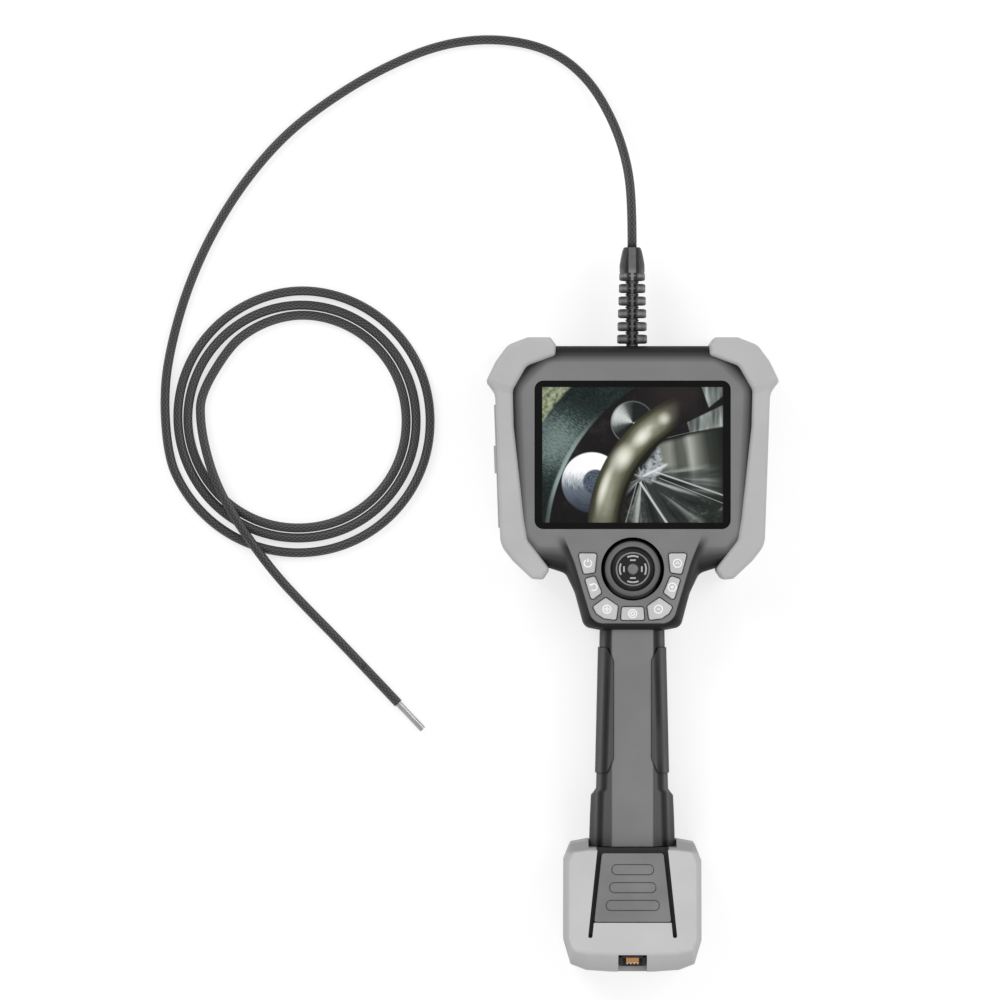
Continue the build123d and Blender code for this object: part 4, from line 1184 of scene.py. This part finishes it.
def pack_room():
    """The hollow that holds the cells and the board."""
    outline, radii = mirrored(PACK_HALF), both_ends(PACK_RADII)
    room = slab("room", outline, radii, [(2.0, 2.0), (2.0, 36.0)])
    carve(room, [cube_cutter((-50, 50), (-200, PACK_SEAT_Y - 2), (0, 60))], "INTERSECT")
    posts = [upright(x, y, 0, 60, 3.4) for x, y in both_sides(PACK_BOSSES)]
    width, top, floor = NOTCH
    notch = cube_cutter((-width / 2 - 2, width / 2 + 2), (-190, top + 2), (floor - 2, 60))
    return carve(room, posts + [notch])


def band(line, side, width):
    """Outline of a narrow band along a line."""
    (x0, y0), (x1, y1) = line
    w = width / 2
    return [(side * (x0 - w), y0), (side * (x0 + w), y0), (side * (x1 + w), y1), (side * (x1 - w), y1)]


def add_pack():
    whole = skin("pack", pack_loops())
    cutters = [pack_room(), handle_solid(0.5, PACK_SEAT_Y), collar_cutter()]
    cutters.append(cube_cutter((-24.8, 24.8), (PACK_SEAT_Y, -90), (20, 60)))
    cutters.append(cutter(mirrored(RECESS_HALF), 0.4, 41.4, 60))
    cutters += [cutter(band(GROOVE, side, 2.4), 1.0, 42.4, 60) for side in (-1, 1)]
    width, top, floor = NOTCH
    cutters.append(cube_cutter((-width / 2, width / 2), (-190, top), (floor, 60)))
    cutters += [upright(x, y, -1, 38, SCREW_R) for x, y in both_sides(PACK_BOSSES)]
    cutters += [upright(x, y, -1, 2.4, SCREW_HEAD_R) for x, y in both_sides(PACK_BOSSES)]
    carve(whole, cutters)
    for name, z in (("pack_front", (PACK_SPLIT_Z, 60)), ("pack_rear", (-5, PACK_SPLIT_Z))):
        half = slice_of(whole, name + "_shell", z)
        if name == "pack_front":
            soft_edges(half, 0.3, 50)
        finish_piece(smooth(half, 24), "battery", "pack", PACK, name)
    bpy.data.objects.remove(whole)


def collar_cutter():
    """Room for the handle's foot in the battery's open end."""
    return carve(collar_solid(0.5), [cube_cutter((-60, 60), (-140, PACK_SEAT_Y), (-20, 80))])


def add_latch():
    """Sliding panel with three raised finger pads in outlined beds."""
    panel = slab("latch_panel", mirrored(PANEL_HALF), [1.6, 1.0, 1.0, 1.6],
                 rounded(41.6, PANEL_TOP_Z, SHARP, (0.6, 0.5)))
    beds, pads = [], []
    radius = RIB_HEIGHT / 2
    for y, width in RIBS:
        beds.append(cutter(rectangle(width, RIB_HEIGHT, (0, y)), radius, PANEL_TOP_Z - 0.7, 50))
        pads.append(rounded_block("pad", (width - 2 * PAD_GAP, RIB_HEIGHT - 2 * PAD_GAP), (0, y),
                                  radius - PAD_GAP, PANEL_TOP_Z - 0.8, PANEL_TOP_Z + 0.25, (0.6, 0.4)))
    carve(panel, beds)
    finish = moulded("latch_grey", grey(0.19, 0.003), 0.45)
    finish_piece(smooth(panel), "latch", "latch", finish, "pack_latch")
    finish_piece(smooth(join("latch_pads", pads)), "latch", "latch", finish)


def add_charge_contact():
    """Copper contact block with its sprung blades, in a black bracket."""
    width, top, floor = NOTCH
    width -= 0.3
    walls = (floor + 0.5, floor + 7.5, (0.4, 0.4))
    parts = [rounded_block("base", (width, 6.6), (0, top - 3.45), 1.5, floor + 0.01, floor + 1.2, (0.3, 0.3)),
             rounded_block("wall", (width, 1.6), (0, top - 0.95), 0.4, *walls)]
    parts += [rounded_block("side", (2.4, 6.0), (x, top - 3.2), 0.6, *walls) for x in (-6.6, 6.6)]
    finish_piece(smooth(join("contact_bracket", parts)), "battery", "black", BLACK)
    block = rounded_block("contact_block", (7.9, 4.4), (0, top - 2.7), 0.7, floor + 0.8, floor + 4.6,
                          (0.5, 0.5))
    finish_piece(smooth(block), "battery", "contact", CONTACT_FINISH, "charge_contact")
    blades = [rounded_block("blade", (1.1, 1.6), (x, top - 4.6), 0.3, floor + 1.0, floor + 5.0, (0.3, 0.3))
              for x in (-3, -1, 1, 3)]
    silver = metal("contact_tin", (0.78, 0.62, 0.46), 0.4)
    finish_piece(smooth(join("contact_blades", blades)), "battery", "contact", silver)


# ---------------------------------------------------------------- strain relief and steered end
RELIEF_RING_HALF = 2.55
RELIEF_WAIST = 4.6      # how far the rings reach at their pinched front and back
RELIEF_PINCH = (1.1, 0.9)       # half width of the pinch, and how fast the rings swell beside it
NOSE = [(5.6, 210.6), (7.0, 210.9), (7.3, 211.7), (7.3, 214.4), (7.0, 215.0), (6.9, 215.3), (7.1, 216.0),
        (7.05, 219.7), (6.5, 223.0), (5.6, 227.3), (4.9, 229.2), (4.2, 229.7)]


def relief_section(y, radius, waist):
    """Round section pinched to a narrow waist at its front and back."""
    loop = []
    start, swell = RELIEF_PINCH
    for k in range(72):
        turn = math.radians(5 * k)
        pinch = within((abs(radius * math.cos(turn)) - start) / swell)
        reach = min(radius, waist + (radius - waist) * pinch)
        loop.append((reach * math.cos(turn), y, SPLIT_Z + reach * math.sin(turn)))
    return loop


def add_relief():
    """Ribbed rubber sleeve: lobed rings on a spine, then a tapered nose with a flat front."""
    parts = []
    for y, radius in RELIEF_RINGS:
        ends = [(radius - 1.0, y - RELIEF_RING_HALF), (radius - 0.25, y - RELIEF_RING_HALF + 0.3),
                (radius, y - RELIEF_RING_HALF + 0.9), (radius, y + RELIEF_RING_HALF - 0.9),
                (radius - 0.25, y + RELIEF_RING_HALF - 0.3), (radius - 1.0, y + RELIEF_RING_HALF)]
        parts.append(skin("ring", [relief_section(place, size, RELIEF_WAIST) for size, place in ends]))
    spine = [(3.3, 173.9)]
    for y, _ in RELIEF_RINGS:
        spine += [(3.3, y - 0.7), (3.9, y - 0.4), (3.9, y + 0.4), (3.3, y + 0.7)]
        spine += [(3.3, y + 3.1), (3.9, y + 3.3), (3.9, y + 3.8), (3.3, y + 4.0)]
    spine.append((3.3, 213))
    parts.append(skin("spine", [relief_section(y, radius, radius) for radius, y in spine]))
    nose = []
    for radius, y in NOSE:
        flat = SPLIT_Z + radius * 0.80
        nose.append([(x, y, min(z, flat)) for x, y, z in relief_section(y, radius, radius)])
    parts.append(skin("nose", nose))
    relief = join("strain_relief_sleeve", parts)
    return finish_piece(smooth(relief, 30), "housing", "relief", RELIEF, "strain_relief")


LINK_PIVOTS = (7.0, 13.0, 19.0, 25.0)
SLEEVE_ENDS = (0.0, 10.0, 16.0, 22.0, 28.0)


def add_steered_end():
    """Four straight lengths of braid past the tube's end; the links under them are hidden."""
    last, before = mm(*TAIL_ROUTE[-1]), mm(*TAIL_ROUTE[-2])
    ahead = (last - before).normalized()
    sleeves = []
    for index, pivot in enumerate(LINK_PIVOTS):
        low, high = SLEEVE_ENDS[index], SLEEVE_ENDS[index + 1]
        count = 12
        samples = [last + ahead * (low + (high - low) * k / count) * MM for k in range(count + 1)]
        sleeve = woven_tube(f"steered_sleeve_{index + 1}", samples, tube_length + low * MM)
        sleeve.data.materials.append(WOVEN.material)
        start, end = last + ahead * (pivot - 2.5) * MM, last + ahead * (pivot + 2.5) * MM
        tuple(start)
        tuple(end)
        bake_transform(sleeve)
        nodes = [f"bend_link_{index + 1}"] + (["bend_ferrule"] if index == 0 else [])
        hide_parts(*nodes)
        sleeves.append(sleeve)
    return sleeves


# ---------------------------------------------------------------- screen
SCREEN_LEFT = -50.8
SCREEN_HIGH = SCREEN_Y + 38.1
SCREEN_HEIGHT = 76.2
SCREEN_ASPECT = 4 / 3


class Picture:
    """Live view of the inside of a machine, drawn with shader nodes.

    Places run from 0 at the left to 1.33 at the right, and from 0 at the top to 1 at the bottom.
    """

    def __init__(self, finish):
        self.finish = finish
        x, y, _ = finish.axes()
        self.u = (x * 1000 - SCREEN_LEFT) / SCREEN_HEIGHT
        self.v = (SCREEN_HIGH - y * 1000) / SCREEN_HEIGHT
        self.plane = finish.vector(self.u, self.v, 0.0)

    def noise(self, scale, detail):
        return self.finish.noise(scale, detail, self.plane)

    def away(self, u, v):
        across, down = self.u - u, self.v - v
        return (across * across + down * down) ** 0.5

    def angle(self, u, v):
        return self.finish.add("Math", {"operation": "ARCTAN2"}, {0: self.v - v, 1: self.u - u})

    def side(self, start, end, soft):
        """1 on the right-hand side of a line as it runs from start to end on the picture."""
        (u0, v0), (u1, v1) = start, end
        length = math.hypot(u1 - u0, v1 - v0)
        across = (self.v - v0) * ((u1 - u0) / length) - (self.u - u0) * ((v1 - v0) / length)
        return across.above(0.0, soft)

    def facet(self, *corners, soft=0.006):
        """Inside of a convex outline whose corners run clockwise."""
        mask = None
        for start, end in zip(corners, corners[1:] + corners[:1]):
            edge = self.side(start, end, soft)
            mask = edge if mask is None else mask * edge
        return mask

    def streak(self, start, end, width):
        """Thin bright line between two points."""
        (u0, v0), (u1, v1) = start, end
        length = math.hypot(u1 - u0, v1 - v0)
        run = ((u1 - u0) / length, (v1 - v0) / length)
        along = (self.u - u0) * run[0] + (self.v - v0) * run[1]
        off = abs((self.v - v0) * run[0] - (self.u - u0) * run[1])
        return off.below(width, width * 0.8) * along.above(0.0, 0.01) * along.below(length, 0.02)


def brushed(picture, centre, rings, spokes):
    """Fine lines that follow a circle: many across it, few along it."""
    finish = picture.finish
    place = finish.vector(picture.away(*centre) * rings, picture.angle(*centre) * spokes, 0.0)
    return finish.noise(1.0, 3.0, place)


def screen_picture(finish):
    picture = Picture(finish)
    blend, ramp = finish.blend, finish.ramp
    cloud = picture.noise(5.0, 5.0)
    fine = picture.noise(26.0, 4.0)
    scene = ramp(cloud * 0.7 + fine * 0.3, (0.30, (0.003, 0.002, 0.003)), (0.55, (0.010, 0.008, 0.009)),
                 (0.80, (0.045, 0.038, 0.034)))

    # machined walls at the right, with soft vertical reflections
    wall = picture.facet((0.86, 0.42), (1.34, 0.29), (1.34, 0.80), (0.80, 0.62), soft=0.02)
    bands = finish.noise(1.0, 2.0, finish.vector(picture.u * 7.0, picture.v * 1.5, 0.0))
    place = (picture.u - 0.84 - (picture.v - 0.5) * 0.12) * 2.0 + (bands - 0.5) * 0.12
    wall_tone = ramp(place, (0.0, (0.14, 0.15, 0.13)), (0.22, (0.30, 0.32, 0.27)),
                     (0.32, (0.10, 0.11, 0.09)), (0.42, (0.13, 0.14, 0.12)),
                     (0.50, (0.50, 0.53, 0.48)), (0.62, (0.24, 0.25, 0.21)),
                     (0.78, (0.045, 0.052, 0.044)), (1.0, (0.010, 0.014, 0.011)))
    scene = blend(wall, scene, wall_tone)
    floor = picture.facet((0.72, 0.70), (1.34, 0.78), (1.34, 1.02), (0.60, 1.02), soft=0.03)
    floor_tone = ramp(cloud * 0.6 + fine * 0.4, (0.36, (0.008, 0.013, 0.010)), (0.54, (0.034, 0.044, 0.036)),
                      (0.68, (0.30, 0.33, 0.29)))
    scene = blend(floor, scene, floor_tone)
    upper = picture.facet((1.07, 0.26), (1.34, 0.13), (1.34, 0.29), (1.09, 0.335))
    corner = picture.facet((1.17, -0.02), (1.34, -0.02), (1.34, 0.06), (1.23, 0.15))
    sheen = finish.noise(1.0, 2.0, finish.vector(picture.u * 22.0, picture.v * 3.0, 0.4))
    metal_tone = ramp(sheen, (0.32, (0.05, 0.06, 0.06)), (0.55, (0.30, 0.34, 0.32)),
                      (0.75, (0.80, 0.85, 0.81)))
    scene = blend(upper, blend(corner, scene, metal_tone), metal_tone)

    # blades that spread from the middle
    hub = (0.735, 0.665)
    spokes = finish.noise(1.0, 3.0, finish.vector(picture.angle(*hub) * 5.0, picture.away(*hub) * 1.2, 0.2))
    fan = picture.away(*hub).below(0.52, 0.10) * picture.u.above(0.66, 0.06) * picture.v.above(0.60, 0.05)
    fan_tone = ramp(spokes, (0.38, (0.008, 0.010, 0.010)), (0.52, (0.060, 0.072, 0.070)),
                    (0.66, (0.60, 0.64, 0.62)))
    scene = blend(fan * 0.75, scene, fan_tone)
    hot = picture.facet((0.70, 0.66), (0.86, 0.44), (0.90, 0.60), (0.80, 0.71), soft=0.02)
    hot_tone = ramp(fine, (0.36, (0.10, 0.11, 0.12)), (0.56, (0.62, 0.66, 0.68)))
    scene = blend(hot * 0.8, scene, hot_tone)
    for start, end, width, strength in (((0.82, 0.62), (1.34, 0.80), 0.005, 0.70),
                                        ((0.86, 0.67), (1.34, 0.86), 0.003, 0.40),
                                        ((0.72, 0.70), (0.93, 1.02), 0.007, 0.80),
                                        ((0.74, 0.66), (0.92, 0.57), 0.009, 0.80),
                                        ((0.70, 0.70), (0.61, 1.02), 0.003, 0.35),
                                        ((0.90, 0.38), (1.34, 0.27), 0.002, 0.20)):
        glare = picture.streak(start, end, width) * strength
        scene = blend(glare, scene, (0.90, 0.93, 0.92))

    # small turned disc behind the pipe
    small = (0.667, 0.262)
    disc = picture.away(*small).below(0.160, 0.005)
    turned = finish.add("Math", {"operation": "SINE"}, {0: picture.angle(*small) * 2.0 + 0.6})
    glints = turned * 0.5 + 0.5
    lines = brushed(picture, small, 120.0, 1.5)
    disc_tone = ramp(glints * 0.75 + lines * 0.25, (0.25, (0.012, 0.014, 0.015)), (0.55, (0.10, 0.115, 0.11)),
                     (0.88, (0.72, 0.77, 0.73)))
    scene = blend(disc, scene, disc_tone)
    scene = blend(picture.away(*small).above(0.152, 0.004) * disc * 0.7, scene, (0.20, 0.22, 0.21))

    # bright flange with a dark bore
    flange = (0.366, 0.704)
    disc = picture.away(*flange).below(0.222, 0.006)
    lines = brushed(picture, flange, 90.0, 2.0)
    fall = (picture.v - 0.50) * 1.9 + lines * 0.25
    flange_tone = ramp(fall, (0.36, (1.25, 1.25, 1.28)), (0.47, (0.62, 0.68, 0.72)),
                       (0.60, (0.17, 0.21, 0.26)), (0.88, (0.04, 0.055, 0.08)))
    scene = blend(disc, scene, flange_tone)
    bore = picture.away(0.392, 0.700).below(0.092, 0.008)
    scene = blend(bore, scene, ramp(lines, (0.35, (0.035, 0.05, 0.075)), (0.65, (0.14, 0.18, 0.23))))

    # broad brushed ring at the left, with the pale casing outside it
    ring_centre = (1.407, 1.161)
    away = picture.away(*ring_centre)
    ring = away.above(1.362, 0.006)
    lines = brushed(picture, ring_centre, 34.0, 150.0)
    grain = brushed(picture, ring_centre, 160.0, 5.0)
    light = picture.away(0.10, 0.40).below(0.22, 0.22) * 0.30 + picture.noise(3.0, 2.0) * 0.20
    ring_tone = ramp(lines * 0.40 + grain * 0.15 + light, (0.34, (0.006, 0.012, 0.012)),
                     (0.50, (0.030, 0.052, 0.050)), (0.72, (0.25, 0.34, 0.32)))
    scene = blend(ring, scene, ring_tone)
    bevel = away.above(1.366, 0.004) * away.below(1.392, 0.012)
    lit_part = picture.v.above(0.40, 0.25) * (1 - 0.7 * picture.v.above(0.80, 0.15))
    scene = blend(bevel * lit_part * 0.75, scene, (0.52, 0.64, 0.60))
    casing = away.above(1.672, 0.014)
    mottled = ramp(fine, (0.34, (0.10, 0.13, 0.07)), (0.50, (0.40, 0.46, 0.28)), (0.66, (0.66, 0.68, 0.48)))
    scene = blend(casing, scene, mottled)

    # champagne pipe that curves across the middle
    pipe_centre = (1.42, 1.06)
    off = (picture.away(*pipe_centre) - 0.967) / 0.120
    pipe = abs(off).below(1.0, 0.04) * picture.u.below(0.97, 0.07)
    round_light = 1 - (off - 0.12) * (off - 0.12) * 0.95
    along = picture.angle(*pipe_centre)
    gleam = finish.noise(1.0, 2.0, finish.vector(along * 4.0, off * 0.7, 0.35))
    pipe_tone = ramp(round_light * (0.36 + 0.50 * gleam), (0.08, grey(0.010, -0.005)),
                     (0.36, (0.075, 0.074, 0.043)), (0.56, (0.24, 0.24, 0.17)), (0.68, (0.42, 0.42, 0.32)),
                     (0.77, (1.0, 1.0, 0.86)))
    for turn, place, reach, width in ((-2.13, 0.10, 0.070, 0.50), (-2.35, 0.06, 0.120, 0.55),
                                      (-2.57, 0.18, 0.150, 0.80), (-2.82, 0.42, 0.260, 0.38)):
        up, out = (along - turn) / reach, (off - place) / width
        spot = ((up * up + out * out) ** 0.5).below(0.5, 0.5) * (0.45 + 0.9 * gleam)
        pipe_tone = blend(spot.least(1.0), pipe_tone, (0.98, 0.98, 0.86))
    scene = blend(pipe, scene, pipe_tone)
    shade = picture.v.below(0.16, 0.14) * picture.u.above(0.80, 0.15) * picture.u.below(1.16, 0.04)
    return blend(shade * 0.8, scene, (0.030, 0.022, 0.022)), picture


def screen_finish():
    """Glossy front glass, black around the display, with the live picture behind it."""
    finish = Finish("screen_glass", grey(0.01, 0), 0.12, Specular_IOR_Level=0.12)
    scene, picture = screen_picture(finish)
    across = abs(picture.u - SCREEN_ASPECT / 2).below(SCREEN_ASPECT / 2, 0.002)
    down = abs(picture.v - 0.5).below(0.5, 0.002)
    lit = across * down
    vignette = 1 - picture.away(SCREEN_ASPECT / 2, 0.5) ** 2 * 0.45
    shown = finish.blend(lit, grey(0.0, 0), scene)
    glow = finish.blend(vignette, grey(0.0, 0), shown)
    finish.set("Emission Color", glow)
    finish.set("Emission Strength", 0.85)
    smear = finish.noise(30.0, 4.0)
    finish.set("Base Color", finish.blend(smear, grey(0.003, 0), grey(0.006, 0)))
    finish.set("Roughness", 0.10 + 0.08 * smear)
    return finish


# ---------------------------------------------------------------- pieces that keep their own shape
def dress_inner_pieces():
    dress(screen_finish(), "screen_window")
    dress(SHELL_BACK, "rear_housing")
    dress(BUMPER, "port_cover")
    dress(SEAL, "housing_seal")
    dress(BLACK, "screen_bezel", "joystick_base", "port_block", "dock_block")
    dress(STEEL, "housing_screws", "handle_screws", "pack_screws", "joystick_stem", "key_domes")
    dress(metal("motor_can", (0.50, 0.50, 0.52), 0.3), "steering_motors")
    dress(ALUMINIUM, "steering_frame", "light_engine", "gimbal_ring")
    dress(BRASS, "pan_drum", "tilt_drum", "gland_bush", "dock_contacts")
    dress(BOARD, "main_board", "key_board", "pack_board")
    dress(CELL, "pack_cells")
    dress(metal("display_can", (0.45, 0.46, 0.47), 0.4), "lcd_module")
    dress(metal("tip_steel", (0.56, 0.56, 0.57), 0.22, 1400.0), "tip_tube")
    dress(moulded("lens_glass", (0.012, 0.014, 0.03), 0.08, depth=0.000002), "tip_lens")
    lamp = moulded("tip_lamp", (0.95, 0.95, 0.90), 0.2, Emission_Color=(1.0, 0.97, 0.9),
                   Emission_Strength=0.6)
    dress(lamp, "tip_lights")


add_front_housing()
add_back_ribs()
add_bumper(-1, "bumper_left")
add_bumper(1, "bumper_right")
add_keys()
add_joystick()
add_handle()
add_pack()
add_latch()
add_charge_contact()
relief = add_relief()
sleeves = add_steered_end()
dress_inner_pieces()

finish_piece(tube, "housing", "braid", WOVEN, "cable_lead", "cable_coil", "cable_tail")
tuple(mm(0, 229.7, 24))
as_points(tube_samples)
